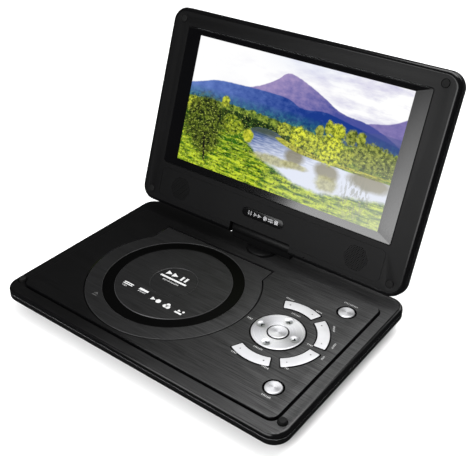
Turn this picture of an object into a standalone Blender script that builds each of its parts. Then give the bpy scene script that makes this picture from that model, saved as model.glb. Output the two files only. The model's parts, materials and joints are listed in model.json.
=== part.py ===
"""A portable disc player: a base with the disc drive and the keys, and a screen lid on a tilt and swivel hinge.

Lengths are in millimetres and become metres where a mesh is made. The origin is on the underside, in the
middle between the sides. X runs to the right, Y towards the hinge and Z up. Lid pieces are built in the
lid's own frame: x to the right, s up the screen from its bottom edge, n out of the screen face.
"""

import math

import bmesh
import bpy
from mathutils import Vector

MM = 0.001
GAP = 0.3

BASE_HALF_WIDTH = 132.0
BASE_FRONT = -84.6
BASE_REAR = 91.0
BASE_CORNER = 13.0
BASE_SPLIT = 15.2
BORDER_TOP = 20.0
BORDER_ROUND = 3.0
BELLY = 11.0
WALL = 1.8

DECK_HALF_WIDTH = 120.0
DECK_FRONT = -73.7
DECK_REAR = 69.0
DECK_TOP = 22.0
DECK_UNDER = BORDER_TOP + GAP

DISC_X = -26.4
DISC_Y = -0.7
COVER_RADIUS = 69.4
TAB_X = -27.9
TAB_HALF_WIDTH = 55.0
COVER_AXIS_Y = 57.1
COVER_AXIS_Z = 20.4
COVER_BARREL = 1.5
COVER_PIN = 0.8
GROOVE_INNER = 46.6
GROOVE_OUTER = 56.1
HUB_MARK = 18.8

WELL_RADIUS = 61.8
WELL_FLOOR = 12.8
WELL_RIM = 17.9
HUB_OPENING = 15.0
EJECTOR_ANGLE = -128.0
EJECTOR_REACH = 66.6

NAV_X = 73.4
NAV_Y = -1.1
NAV_RADIUS = 20.0
SELECT_RADIUS = 7.6
ARC_INNER = 28.5
ARC_OUTER = 37.5
ARC_KEYS = {
    "key_rear": (66.0, 116.0),
    "key_right_rear": (5.5, 57.0),
    "key_right_front": (-53.0, -4.0),
    "key_front": (-117.0, -65.0),
}
ROUND_KEYS = {"round_key_rear": (101.2, 48.9), "round_key_front": (103.3, -49.7)}
ROUND_RADIUS = 6.3
KEY_FOOT = 17.4
KEY_TOP = 22.5
KEY_BOARD_TOP = 16.1

ROD_Z = 7.8
ROD_RADIUS = 1.5
ROD_OFFSET = 19.0
SCREW_OFFSET = -28.5
LENS_REACH = 23.0

SOCKET_Z = 11.6
FOOT_X = 113.0
FOOT_Y = 66.0
DOOR_X = (56.0, 102.0)
DOOR_HALF_LENGTH = 58.0
DOOR_SCREW_Y = 53.0

HINGE_Y = 83.4
HINGE_Z = 31.35
PAD_RADIUS = 18.0
TURNTABLE_RADIUS = 13.5
SHAFT_RADIUS = 6.5
CABLE_BORE = 3.0
BARREL_RADIUS = 4.8
PIN_RADIUS = 2.0
LEAN = 19.5

LID_HALF_WIDTH = 131.0
LID_HEIGHT = 171.3
LID_CORNER = 12.5
LID_THICKNESS = 16.5
LID_SPLIT = -6.0
BEZEL_ROUND = 3.0
AXIS_S = 4.0
AXIS_N = -8.55
NOTCH_HALF_WIDTH = 30.0
NOTCH_HEIGHT = 9.2
WINDOW_HALF_WIDTH = 112.0
WINDOW_LOW = 38.3
WINDOW_HIGH = 156.5
WINDOW_DEPTH = 1.2
PICTURE_HALF_WIDTH = 98.9
PICTURE_LOW = 44.5
PICTURE_HIGH = 151.6
SPEAKER_X = 88.0
SPEAKER_S = 19.5
FEET = {
    "foot_front_left": (-FOOT_X, -FOOT_Y),
    "foot_front_right": (FOOT_X, -FOOT_Y),
    "foot_rear_left": (-FOOT_X, FOOT_Y),
    "foot_rear_right": (FOOT_X, FOOT_Y),
}
BUMPERS = {"base_bumper_left": (-124.5, -70.1), "base_bumper_right": (124.5, -70.1)}
SOCKETS = {
    "dc_socket": (-56.0, 1.9),
    "av_socket": (-42.0, 1.75),
    "headphone_socket_front": (-26.0, 1.75),
    "headphone_socket_rear": (-12.0, 1.75),
}
LID_BUMPERS = {
    "lid_bumper_top_left": (-119.0, 162.0),
    "lid_bumper_top_right": (119.0, 162.0),
    "lid_bumper_low_left": (-119.8, 10.3),
    "lid_bumper_low_right": (119.8, 10.3),
}

GLOSS_BLACK = (0.010, 0.010, 0.011), 0.18, 0.0
SATIN_BLACK = (0.022, 0.022, 0.023), 0.45, 0.0
BRUSHED_BLACK = (0.045, 0.045, 0.048), 0.35, 0.6
RUBBER = (0.015, 0.015, 0.015), 0.85, 0.0
SILVER = (0.70, 0.70, 0.72), 0.25, 0.9
STEEL = (0.50, 0.51, 0.53), 0.30, 1.0
BOARD_GREEN = (0.02, 0.12, 0.05), 0.50, 0.0
DARK_PLASTIC = (0.03, 0.03, 0.032), 0.60, 0.0
LENS_BLUE = (0.05, 0.08, 0.25), 0.08, 0.0
BATTERY_GREY = (0.20, 0.21, 0.23), 0.50, 0.0


def clear_scene():
    for obj in list(bpy.data.objects):
        bpy.data.objects.remove(obj, do_unlink=True)


def new_collection(name):
    made = bpy.data.collections.new(name)
    bpy.context.scene.collection.children.link(made)
    return made


clear_scene()
PARTS = new_collection("portable_dvd_player")
CUTTERS = new_collection("cutters")


def add_object(name, data, parent):
    made = bpy.data.objects.new(name, data)
    CUTTERS.objects.link(made)
    made.parent = parent
    made.hide_render = True
    made.display_type = "WIRE"
    return made


def from_bmesh(name, shape, parent):
    data = bpy.data.meshes.new(name)
    shape.to_mesh(data)
    shape.free()
    return add_object(name, data, parent)


def box(name, low, high, parent=None):
    shape = bmesh.new()
    bmesh.ops.create_cube(shape, size=1.0)
    size = Vector(high) - Vector(low)
    centre = (Vector(high) + Vector(low)) / 2
    for vertex in shape.verts:
        vertex.co = Vector(a * b for a, b in zip(vertex.co, size)) + centre
        vertex.co *= MM
    return from_bmesh(name, shape, parent)


def edges_at(shape, height):
    return [edge for edge in shape.edges if all(abs(v.co.z - height * MM) < 1e-6 for v in edge.verts)]


def upright_edges(shape):
    return [edge for edge in shape.edges if abs(edge.verts[0].co.z - edge.verts[1].co.z) > 1e-6]


def round_edges(shape, edges, radius, steps):
    bmesh.ops.bevel(
        shape, geom=edges, offset=radius * MM, segments=steps, profile=0.5, affect="EDGES", clamp_overlap=True
    )


def slab(name, low, high, corner, top=0.0, bottom=0.0, steps=2, parent=None):
    """A plate with round upright corners, and its top and bottom rims rounded when asked."""
    made = box(name, low, high, parent)
    shape = bmesh.new()
    shape.from_mesh(made.data)
    round_edges(shape, upright_edges(shape), corner, 5)
    if top:
        round_edges(shape, edges_at(shape, high[2]), top, steps)
    if bottom:
        round_edges(shape, edges_at(shape, low[2]), bottom, steps)
    shape.to_mesh(made.data)
    shape.free()
    return made


def cylinder(name, radius, start, end, sides=24, parent=None):
    """A cylinder between two points."""
    first = Vector(start) * MM
    along = Vector(end) * MM - first
    turn = Vector((0, 0, 1)).rotation_difference(along).to_matrix().to_4x4()
    turn.translation = first + along / 2
    shape = bmesh.new()
    bmesh.ops.create_cone(
        shape,
        cap_ends=True,
        segments=sides,
        radius1=radius * MM,
        radius2=radius * MM,
        depth=along.length,
        matrix=turn,
    )
    return from_bmesh(name, shape, parent)


def disc(name, radius, x, y, low, high, sides=24, parent=None):
    return cylinder(name, radius, (x, y, low), (x, y, high), sides, parent)


def turned(name, profile, x, y, closed=False, sides=40, parent=None):
    """A turned piece: the profile's (radius, z) points run down the outer side."""
    data = bpy.data.meshes.new(name)
    points = [(radius * MM, 0.0, z * MM) for radius, z in profile]
    edges = [(i, i + 1) for i in range(len(points) - 1)]
    if closed:
        edges.append((len(points) - 1, 0))
    data.from_pydata(points, edges, [])
    made = add_object(name, data, parent)
    made.location = (x * MM, y * MM, 0.0)
    screw = made.modifiers.new("turn", "SCREW")
    screw.steps = sides
    screw.render_steps = sides
    screw.use_merge_vertices = True
    screw.merge_threshold = 0.00001
    return made


def plate(name, outline, low, high, parent=None):
    """A flat outline of (x, y) points made as thick as low to high."""
    curve = bpy.data.curves.new(name, "CURVE")
    curve.dimensions = "2D"
    curve.fill_mode = "BOTH"
    curve.extrude = (high - low) / 2 * MM
    spline = curve.splines.new("POLY")
    spline.points.add(len(outline) - 1)
    for point, (x, y) in zip(spline.points, outline):
        point.co = (x * MM, y * MM, 0.0, 1.0)
    spline.use_cyclic_u = True
    source = bpy.data.objects.new(name + "_outline", curve)
    CUTTERS.objects.link(source)
    graph = bpy.context.evaluated_depsgraph_get()
    data = bpy.data.meshes.new_from_object(source.evaluated_get(graph))
    bpy.data.objects.remove(source, do_unlink=True)
    shape = bmesh.new()
    shape.from_mesh(data)
    bmesh.ops.remove_doubles(shape, verts=shape.verts, dist=0.000001)
    bmesh.ops.dissolve_limit(shape, angle_limit=0.01, verts=shape.verts, edges=shape.edges)
    bmesh.ops.translate(shape, verts=shape.verts, vec=(0.0, 0.0, (low + high) / 2 * MM))
    shape.to_mesh(data)
    shape.free()
    return add_object(name, data, parent)


def combine(target, tool, operation):
    modifier = target.modifiers.new(tool.name, "BOOLEAN")
    modifier.operation = operation
    modifier.solver = "EXACT"
    modifier.object = tool


def cut(target, *tools):
    for tool in tools:
        combine(target, tool, "DIFFERENCE")


def join(target, *tools):
    for tool in tools:
        combine(target, tool, "UNION")


def soften(target, width, steps=1):
    modifier = target.modifiers.new("soft_edges", "BEVEL")
    modifier.width = width * MM
    modifier.segments = steps
    modifier.limit_method = "ANGLE"
    modifier.angle_limit = math.radians(50)


def finish(target, look):
    """Turns a built shape into a sub-part with its own material."""
    colour, roughness, metallic = look
    material = bpy.data.materials.new(target.name)
    material.use_nodes = True
    shader = material.node_tree.nodes["Principled BSDF"]
    shader.inputs["Base Color"].default_value = (*colour, 1.0)
    shader.inputs["Roughness"].default_value = roughness
    shader.inputs["Metallic"].default_value = metallic
    target.data.materials.clear()
    target.data.materials.append(material)
    target.data.shade_smooth()
    target.data.set_sharp_from_angle(angle=math.radians(35))
    CUTTERS.objects.unlink(target)
    PARTS.objects.link(target)
    target.hide_render = False
    target.display_type = "TEXTURED"
    return target


def empty(name, location, turn=(0.0, 0.0, 0.0), parent=None):
    made = bpy.data.objects.new(name, None)
    CUTTERS.objects.link(made)
    made.location = Vector(location) * MM
    made.rotation_euler = turn
    made.parent = parent
    made.hide_render = True
    return made


def polar(x, y, radius, degrees):
    """The point at a radius and an angle from a centre."""
    angle = math.radians(degrees)
    return (x + radius * math.cos(angle), y + radius * math.sin(angle))


def arc(x, y, radius, start, end, steps):
    return [polar(x, y, radius, start + (end - start) * i / steps) for i in range(steps + 1)]


def cover_outline(grow):
    """The disc cover seen from above: a round front and a square tab towards the hinge, grown outwards."""
    radius = COVER_RADIUS + grow
    right = TAB_X + TAB_HALF_WIDTH + grow
    left = TAB_X - TAB_HALF_WIDTH - grow
    start = 180.0 - math.degrees(math.acos((DISC_X - left) / radius))
    end = 360.0 + math.degrees(math.acos((right - DISC_X) / radius))
    rear = COVER_AXIS_Y + (COVER_BARREL + grow if grow else -0.5)
    return arc(DISC_X, DISC_Y, radius, start, end, 36) + [(right, rear), (left, rear)]


def arc_outline(start, end, grow):
    spread = math.degrees(grow / ARC_OUTER)
    outer = arc(NAV_X, NAV_Y, ARC_OUTER + grow, start - spread, end + spread, 10)
    inner = arc(NAV_X, NAV_Y, ARC_INNER - grow, end + 1.3 * spread, start - 1.3 * spread, 8)
    return outer + inner


def in_disc_frame(reach, angle):
    turn = math.radians(angle)
    return DISC_X + reach * math.cos(turn), DISC_Y + reach * math.sin(turn)


def pin_bores():
    """Cutters for the disc cover's two hinge pins, at the ends of its barrel."""
    bores = []
    for name, side in (("left", -1), ("right", 1)):
        inner = TAB_X + side * (TAB_HALF_WIDTH - 1.0)
        outer = TAB_X + side * (TAB_HALF_WIDTH + 3.4)
        ends = ((inner, COVER_AXIS_Y, COVER_AXIS_Z), (outer, COVER_AXIS_Y, COVER_AXIS_Z))
        bores.append(cylinder("cover_pin_bore_" + name, COVER_PIN + GAP, *ends, 12))
    return bores


# Base casings ---------------------------------------------------------------------------------------------


def socket_bores():
    bores = []
    for name, (y, _) in SOCKETS.items():
        start = (-BASE_HALF_WIDTH - 2, y, SOCKET_Z)
        end = (-BASE_HALF_WIDTH + 3, y, SOCKET_Z)
        bores.append(cylinder(name + "_opening", 2.9, start, end, 14))
    return bores


def bottom_case():
    x = BASE_HALF_WIDTH
    low, high = (-x, BASE_FRONT, 0), (x, BASE_REAR, BASE_SPLIT)
    case = slab("bottom_case", low, high, BASE_CORNER, bottom=BELLY, steps=1)
    join(case, box("socket_wall", (-x, -63, 4.9), (10 - x, 46, BASE_SPLIT - 1)))
    join(case, disc("lower_pad", PAD_RADIUS, 0, HINGE_Y, 5.0, BASE_SPLIT - 0.2, 32))
    x = x - WALL
    low, high = (-x, BASE_FRONT + WALL, WALL), (x, BASE_REAR - WALL, BASE_SPLIT + 5)
    cut(case, slab("lower_cavity", low, high, BASE_CORNER - WALL, bottom=BELLY - 1.0, steps=1))
    cut(case, box("socket_bay", (-x, -61.2, 6.1), (12 - x, 44.2, BASE_SPLIT + 1)))
    cut(case, disc("lower_pad_cavity", PAD_RADIUS - 2.2, 0, HINGE_Y, 6.8, BASE_SPLIT + 4, 32))
    near, far = DOOR_X
    for name, side in (("front", -1), ("rear", 1)):
        low = (near - 6, min(side * 49.5, side * 57.0), 1.0)
        high = (far + 6, max(side * 49.5, side * 57.0), 4.2)
        join(case, box("door_bar_" + name, low, high))
    low = (near - GAP, -DOOR_HALF_LENGTH - GAP, -1.0)
    high = (far + GAP, DOOR_HALF_LENGTH + GAP, WALL + GAP)
    cut(case, slab("door_opening", low, high, 3.0))
    for name, side in (("front", -1), ("rear", 1)):
        place = (near + far) / 2, side * DOOR_SCREW_Y
        cut(case, disc("door_screw_bore_" + name, 1.6, *place, 0.5, 5.0, 12))
    for name, (x, y) in FEET.items():
        cut(case, disc(name + "_seat", 6.3, x, y, -1.0, 1.0, 16))
    frame = slab("label_frame", (-36, -21, -1.0), (36, 21, 0.4), 2.0)
    cut(frame, slab("label_face", (-35.4, -20.4, -2.0), (35.4, 20.4, 1.0), 1.5))
    cut(case, frame)
    cut(case, *socket_bores())
    wall = -BASE_HALF_WIDTH
    cut(case, box("power_slot", (wall - 2, 8.6, 10.1), (wall + 4, 19.4, 12.9)))
    cut(case, box("volume_slot", (wall - 2, 27.6, 10.2), (wall + 4, 42.4, 13.2)))
    finish(case, SATIN_BLACK)


def top_case():
    x = BASE_HALF_WIDTH
    low, high = (-x, BASE_FRONT, BASE_SPLIT + GAP), (x, BASE_REAR, BORDER_TOP)
    case = slab("top_case", low, high, BASE_CORNER, top=BORDER_ROUND, steps=3)
    join(case, disc("upper_pad", PAD_RADIUS, 0, HINGE_Y, BASE_SPLIT + 0.5, BORDER_TOP - 0.1, 32))
    x = x - WALL
    low, high = (-x, BASE_FRONT + WALL, 14), (x, BASE_REAR - WALL, BORDER_TOP - WALL)
    cavity = slab("upper_cavity", low, high, BASE_CORNER - WALL)
    cut(cavity, disc("pad_core", PAD_RADIUS - 1.0, 0, HINGE_Y, 13, BORDER_TOP, 32))
    cut(case, cavity)
    cut(case, disc("turntable_pocket", TURNTABLE_RADIUS + 0.4, 0, HINGE_Y, 18.2, 23, 36))
    cut(case, disc("shaft_bore", SHAFT_RADIUS + 0.4, 0, HINGE_Y, 14, 19, 24))
    cut(case, plate("case_disc_opening", cover_outline(0.5), 17.0, 21.0))
    cut(case, disc("keypad_window", ARC_OUTER + 1.5, NAV_X, NAV_Y, 17.0, 21.0, 32))
    for name, (x, y) in ROUND_KEYS.items():
        cut(case, disc(name + "_window", ROUND_RADIUS + 2.0, x, y, 17.0, 21.0, 24))
    for name, (x, y) in BUMPERS.items():
        cut(case, disc(name + "_seat", 3.6, x, y, 18.9, 21.0, 16))
    cut(case, *pin_bores())
    finish(case, BRUSHED_BLACK)


def deck_panel():
    low, high = (-DECK_HALF_WIDTH, DECK_FRONT, DECK_UNDER), (DECK_HALF_WIDTH, DECK_REAR, DECK_TOP)
    panel = slab("deck_panel", low, high, 6.0, top=1.2)
    cut(panel, plate("deck_disc_opening", cover_outline(0.5), 19.0, 23.0))
    cut(panel, disc("nav_opening", NAV_RADIUS + 0.6, NAV_X, NAV_Y, 19, 23, 40))
    for name, (start, end) in ARC_KEYS.items():
        cut(panel, plate(name + "_opening", arc_outline(start, end, 0.4), 19.0, 23.0))
    for name, (x, y) in ROUND_KEYS.items():
        cut(panel, disc(name + "_opening", ROUND_RADIUS + 1.3, x, y, 19, 23, 24))
    for name, side in (("left", -1), ("right", 1)):
        cut(panel, bpy.data.objects["cover_pin_bore_" + name])
    finish(panel, BRUSHED_BLACK)


def feet_and_bumpers():
    for name, (x, y) in FEET.items():
        foot = disc(name, 6.0, x, y, -1.5, 0.7, 16)
        soften(foot, 0.4)
        finish(foot, RUBBER)
    for name, (x, y) in BUMPERS.items():
        bumper = disc(name, 3.3, x, y, 19.2, 22.4, 16)
        soften(bumper, 0.5)
        finish(bumper, RUBBER)


def battery_bay():
    near, far = DOOR_X
    door = slab("battery_cover", (near, -DOOR_HALF_LENGTH, 0), (far, DOOR_HALF_LENGTH, 1.5), 3.0)
    middle = (near + far) / 2
    for name, side in (("front", -1), ("rear", 1)):
        y = side * DOOR_SCREW_Y
        cut(door, disc("door_screw_seat_" + name, 2.9, middle, y, -1.0, 0.9, 16))
        cut(door, disc("door_screw_way_" + name, 1.6, middle, y, 0.0, 2.0, 12))
        screw = disc("battery_screw_" + name, 2.5, middle, y, 0.05, 0.6, 16)
        join(screw, disc("battery_screw_shank_" + name, 1.2, middle, y, 0.4, 4.8, 12))
        cut(screw, box("screw_slot_" + name, (middle - 3, y - 0.3, -0.5), (middle + 3, y + 0.3, 0.3)))
        finish(screw, STEEL)
    finish(door, SATIN_BLACK)
    pack = slab("battery_pack", (near + 1, -48, 2.3), (far - 1, 48, 13.9), 2.0, top=0.8, bottom=0.8)
    finish(pack, BATTERY_GREY)


# Boards and side controls ---------------------------------------------------------------------------------


def boards():
    board = box("main_board", (-121, -70, 4.3), (-46, 70, 5.5))
    chips = (("decoder", -90, 10, 11), ("memory", -68, 34, 7), ("power_chip", -92, -40, 6))
    for name, x, y, half in chips:
        join(board, box(name, (x - half, y - half, 5.0), (x + half, y + half, 7.2)))
    finish(board, BOARD_GREEN)
    keypad = box("key_board", (50, -58, KEY_BOARD_TOP - 1.2), (113, 58, KEY_BOARD_TOP))
    domes = [(NAV_X, NAV_Y)] + arc(NAV_X, NAV_Y, 14.0, 0, 270, 3) + list(ROUND_KEYS.values())
    for start, end in ARC_KEYS.values():
        domes.append(polar(NAV_X, NAV_Y, (ARC_INNER + ARC_OUTER) / 2, (start + end) / 2))
    for i, (x, y) in enumerate(domes):
        join(keypad, disc(f"dome_{i}", 2.2, x, y, KEY_BOARD_TOP - 0.5, KEY_BOARD_TOP + 0.7, 10))
    finish(keypad, BOARD_GREEN)


def sockets():
    outside = -BASE_HALF_WIDTH + 0.2
    for name, (y, bore) in SOCKETS.items():
        socket = box(name, (-128.4, y - 3.4, 6.4), (-119.0, y + 3.4, 14.4))
        join(socket, cylinder(name + "_nose", 2.6, (outside, y, SOCKET_Z), (-127, y, SOCKET_Z), 14))
        cut(socket, cylinder(name + "_bore", bore, (outside - 2, y, SOCKET_Z), (-121, y, SOCKET_Z), 12))
        finish(socket, DARK_PLASTIC)


def side_controls():
    wall = -BASE_HALF_WIDTH
    switch = box("power_switch", (wall - 1.2, 9.0, 10.5), (wall + 5, 15.0, 12.5))
    for i in range(4):
        y = 10.2 + 1.2 * i
        cut(switch, box(f"switch_grip_{i}", (wall - 2, y, 10), (wall - 0.8, y + 0.5, 13)))
    finish(switch, DARK_PLASTIC)
    wheel = disc("volume_wheel", 8.0, 0, 0, 10.6, 12.8, 36)
    wheel.location = (-125.6 * MM, 35.0 * MM, 0.0)
    for i in range(12):
        angle = math.radians(30 * i + 15)
        x, y = 8.3 * math.cos(angle), 8.3 * math.sin(angle)
        cut(wheel, disc(f"wheel_groove_{i}", 0.8, x - 125.6, y + 35.0, 10, 13, 6))
    finish(wheel, DARK_PLASTIC)


# Disc drive -----------------------------------------------------------------------------------------------


def disc_well():
    floor, rim, wall = WELL_FLOOR, WELL_RIM, WELL_RADIUS
    under = floor - 1.4
    flange = COVER_RADIUS + 3.5
    profile = [(HUB_OPENING, floor), (wall, floor), (wall, rim), (flange, rim), (flange, rim - 1.5)]
    profile += [(wall + 1.6, rim - 1.5), (wall + 1.6, under), (HUB_OPENING, under)]
    well = turned("disc_well", profile, DISC_X, DISC_Y, closed=True)
    reach = TAB_HALF_WIDTH + 3.5
    low, high = (TAB_X - reach, 25.0, rim - 1.3), (TAB_X + reach, COVER_AXIS_Y + 5.0, rim - 0.2)
    tab = box("well_tab", low, high)
    cut(tab, disc("well_tab_opening", wall + 4.0, DISC_X, DISC_Y, 10, 20, 40))
    join(well, tab)
    cut(well, disc("pad_clearance", PAD_RADIUS + 0.5, 0, HINGE_Y, 14, 20, 32))
    window_low = (DISC_X, DISC_Y - 10, under - 1)
    window_high = (DISC_X + 60.5, DISC_Y + 10, floor + 1)
    cut(well, box("pickup_window", window_low, window_high))
    x, y = in_disc_frame(EJECTOR_REACH, EJECTOR_ANGLE)
    cut(well, disc("ejector_bore", 2.5, x, y, 10, 20, 12))
    finish(well, DARK_PLASTIC)
    ejector = disc("cover_ejector", 2.1, x, y, 13.5, 19.7, 12)
    soften(ejector, 0.4)
    finish(ejector, DARK_PLASTIC)


def disc_cover():
    pivot = empty("cover_axis", (TAB_X, COVER_AXIS_Y, COVER_AXIS_Z))
    cover = plate("disc_cover", cover_outline(0.0), BORDER_TOP, DECK_TOP)
    top = DECK_TOP + 1
    low = DECK_TOP - 0.8
    profile = [(GROOVE_INNER, top), (GROOVE_OUTER, top), (GROOVE_OUTER, low), (GROOVE_INNER, low)]
    cut(cover, turned("cover_groove", profile, DISC_X, DISC_Y, closed=True))
    cut(cover, disc("hub_recess", HUB_MARK, DISC_X, DISC_Y, DECK_TOP - 0.5, top, 36))
    for name, radius, reach in (("barrel", COVER_BARREL, -0.4), ("pin", COVER_PIN, 2.6)):
        start = (TAB_X - TAB_HALF_WIDTH - reach, COVER_AXIS_Y, COVER_AXIS_Z)
        end = (TAB_X + TAB_HALF_WIDTH + reach, COVER_AXIS_Y, COVER_AXIS_Z)
        join(cover, cylinder("cover_" + name, radius, start, end, 16))
    finish(cover, BRUSHED_BLACK)
    profile = [(0, 19.7), (52, 19.7), (52, 18.5), (9, 18.5), (8, 19.1), (0, 19.1)]
    liner = turned("cover_liner", profile, DISC_X, DISC_Y)
    finish(liner, DARK_PLASTIC)
    hang_on(pivot, cover, liner)


def hang_on(pivot, *pieces):
    """Parents pieces to an empty on their joint's axis, and leaves them where they are."""
    for piece in pieces:
        piece.parent = pivot
        piece.matrix_parent_inverse.identity()
        piece.location = piece.location - pivot.location


def loader():
    chassis = box("loader_chassis", (DISC_X - 16, DISC_Y - 36, 2.3), (DISC_X + 76, DISC_Y + 26, 3.5))
    posts = [(4, ROD_OFFSET), (4, -ROD_OFFSET), (70, ROD_OFFSET), (70, -ROD_OFFSET), (70, SCREW_OFFSET)]
    for i, (x, y) in enumerate(posts):
        low = (DISC_X + x, DISC_Y + y - 3, 3.0)
        high = (DISC_X + x + 4, DISC_Y + y + 3, 10.4)
        join(chassis, box(f"loader_post_{i}", low, high))
    sled_low = (DISC_X + 13.5, DISC_Y - 22.5, 5.2)
    sled_high = (DISC_X + 33.0, DISC_Y + 22.5, 10.6)
    sled = box("pickup_sled", sled_low, sled_high)
    arm_low = (DISC_X + 20, DISC_Y - 32.5, 5.6)
    arm_high = (DISC_X + 28, DISC_Y - 20.0, 10.2)
    join(sled, box("sled_arm", arm_low, arm_high))
    shafts = (
        ("guide_rod_front", -ROD_OFFSET, 5.0),
        ("guide_rod_rear", ROD_OFFSET, 5.0),
        ("lead_screw", SCREW_OFFSET, 4.4),
    )
    for name, y, start in shafts:
        first = (DISC_X + start, DISC_Y + y, ROD_Z)
        last = (DISC_X + 73.0, DISC_Y + y, ROD_Z)
        bore = cylinder(name + "_bore", ROD_RADIUS + GAP, (DISC_X, *first[1:]), (DISC_X + 80, *first[1:]), 20)
        cut(chassis, bore)
        cut(sled, bore)
        shaft = cylinder(name, ROD_RADIUS, first, last, 16)
        finish(shaft, STEEL)
        if name == "lead_screw":
            hang_on(empty("screw_axis", first), shaft)
    lens = (DISC_X + LENS_REACH, DISC_Y)
    cut(sled, disc("lens_bore", 3.4, *lens, ROD_Z, 12, 20))
    finish(chassis, STEEL)
    finish(sled, DARK_PLASTIC)
    eye = disc("pickup_lens", 3.0, *lens, 8.4, 12.2, 20)
    soften(eye, 0.5)
    finish(eye, LENS_BLUE)
    finish(disc("spindle_motor", 11.0, DISC_X, DISC_Y, 3.9, 10.6, 36), STEEL)
    motor_ends = (
        (DISC_X - 10, DISC_Y + SCREW_OFFSET, ROD_Z),
        (DISC_X + 4, DISC_Y + SCREW_OFFSET, ROD_Z),
    )
    finish(cylinder("sled_motor", 3.3, *motor_ends, 24), STEEL)
    seat = 14.8
    hub = [(0, 17), (4.5, 17), (7.4, 15.4), (7.4, seat), (13, seat), (13, 13.4), (5, 13.4), (5, 11.0), (0, 11.0)]
    finish(turned("disc_spindle", hub, DISC_X, DISC_Y, sides=36), DARK_PLASTIC)


# Keys -----------------------------------------------------------------------------------------------------


def keys():
    ring = [(8.2, KEY_TOP - 0.3), (9.0, KEY_TOP), (NAV_RADIUS - 1.5, KEY_TOP), (NAV_RADIUS, KEY_TOP - 0.6)]
    ring += [(NAV_RADIUS, KEY_FOOT), (8.2, KEY_FOOT)]
    nav = turned("nav_ring", ring, NAV_X, NAV_Y, closed=True, sides=40)
    for i in range(4):
        angle = math.radians(90 * i)
        x = NAV_X + 14 * math.cos(angle)
        y = NAV_Y + 14 * math.sin(angle)
        mark = disc(f"nav_mark_{i}", 2.6, 0, 0, KEY_TOP - 0.3, KEY_TOP + 1, 3)
        mark.location = (x * MM, y * MM, 0.0)
        mark.rotation_euler = (0.0, 0.0, angle - math.pi / 2)
        cut(nav, mark)
    finish(nav, SILVER)
    select = disc("select_button", SELECT_RADIUS, NAV_X, NAV_Y, KEY_FOOT, KEY_TOP + 0.1, 28)
    soften(select, 0.5)
    finish(select, SILVER)
    for name, (start, end) in ARC_KEYS.items():
        key = plate(name, arc_outline(start, end, 0.0), KEY_FOOT, KEY_TOP)
        soften(key, 0.4)
        finish(key, SILVER)
    for name, (x, y) in ROUND_KEYS.items():
        key = disc(name, ROUND_RADIUS, x, y, KEY_FOOT, KEY_TOP + 0.1, 24)
        soften(key, 0.6)
        finish(key, SILVER)


# Hinge ----------------------------------------------------------------------------------------------------


def swivel():
    pivot = empty("swivel_axis", (0, HINGE_Y, BORDER_TOP))
    top = 22.3
    profile = [(0, top), (TURNTABLE_RADIUS - 0.8, top), (TURNTABLE_RADIUS, top - 0.8), (TURNTABLE_RADIUS, 18.5)]
    profile += [(SHAFT_RADIUS, 18.5), (SHAFT_RADIUS, 12.5), (CABLE_BORE, 12.5), (CABLE_BORE, 20.0), (0, 20.0)]
    bracket = turned("swivel_bracket", profile, 0, HINGE_Y, sides=36)
    join(bracket, box("hinge_neck", (-11, HINGE_Y - 4.2, 21.5), (11, HINGE_Y + 4.2, 24.5)))
    reach = NOTCH_HALF_WIDTH - 0.6
    join(bracket, box("hinge_yoke", (-reach, HINGE_Y - 4.6, 22.8), (reach, HINGE_Y + 4.6, HINGE_Z)))
    seat_ends = ((-40, HINGE_Y, HINGE_Z), (40, HINGE_Y, HINGE_Z))
    cut(bracket, cylinder("barrel_seat", BARREL_RADIUS + GAP, *seat_ends, 32))
    finish(bracket, SATIN_BLACK)
    ring_profile = [(SHAFT_RADIUS + GAP, 15.2), (10.5, 15.2), (10.5, 13.2), (SHAFT_RADIUS + GAP, 13.2)]
    ring = turned("swivel_retainer", ring_profile, 0, HINGE_Y, closed=True, sides=32)
    finish(ring, STEEL)
    barrel = cylinder("hinge_barrel", BARREL_RADIUS, (-reach, HINGE_Y, HINGE_Z), (reach, HINGE_Y, HINGE_Z), 32)
    pins = []
    for name, side in (("left", -1), ("right", 1)):
        start, end = (side * 25.0, HINGE_Y, HINGE_Z), (side * 41.0, HINGE_Y, HINGE_Z)
        pins.append(finish(cylinder("tilt_pin_" + name, PIN_RADIUS, start, end, 20), STEEL))
        start = (side * 24.7, HINGE_Y, HINGE_Z)
        cut(barrel, cylinder("pin_socket_" + name, PIN_RADIUS + GAP, start, end, 20))
    finish(barrel, GLOSS_BLACK)
    hang_on(pivot, bracket, ring, barrel, *pins)
    return pivot


# Lid ------------------------------------------------------------------------------------------------------


def lid_frame(swivel_pivot):
    """An empty on the tilt axis, and one at the lid's bottom edge that holds the lid's own frame."""
    offset = (0.0, 0.0, HINGE_Z - BORDER_TOP)
    axis = empty("tilt_axis", offset, (math.radians(90 - LEAN), 0.0, 0.0), swivel_pivot)
    return empty("lid_frame", (0.0, -AXIS_S, -AXIS_N), parent=axis)


def lid_cavity(name, low_n, high_n, deep_rim, frame):
    """The hollow of one lid shell, kept clear of the walls round the hinge notch."""
    x = LID_HALF_WIDTH - WALL
    low, high = (-x, WALL, low_n), (x, LID_HEIGHT - WALL, high_n)
    cavity = slab(name, low, high, LID_CORNER - WALL, bottom=deep_rim, steps=3, parent=frame)
    reach = NOTCH_HALF_WIDTH + WALL
    core = box(name + "_core", (-reach, -5, -30), (reach, NOTCH_HEIGHT + WALL, 10), frame)
    cut(cavity, core)
    return cavity


def notch(frame):
    reach = NOTCH_HALF_WIDTH
    return box("hinge_notch", (-reach, -5, -30), (reach, NOTCH_HEIGHT, 10), frame)


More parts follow.
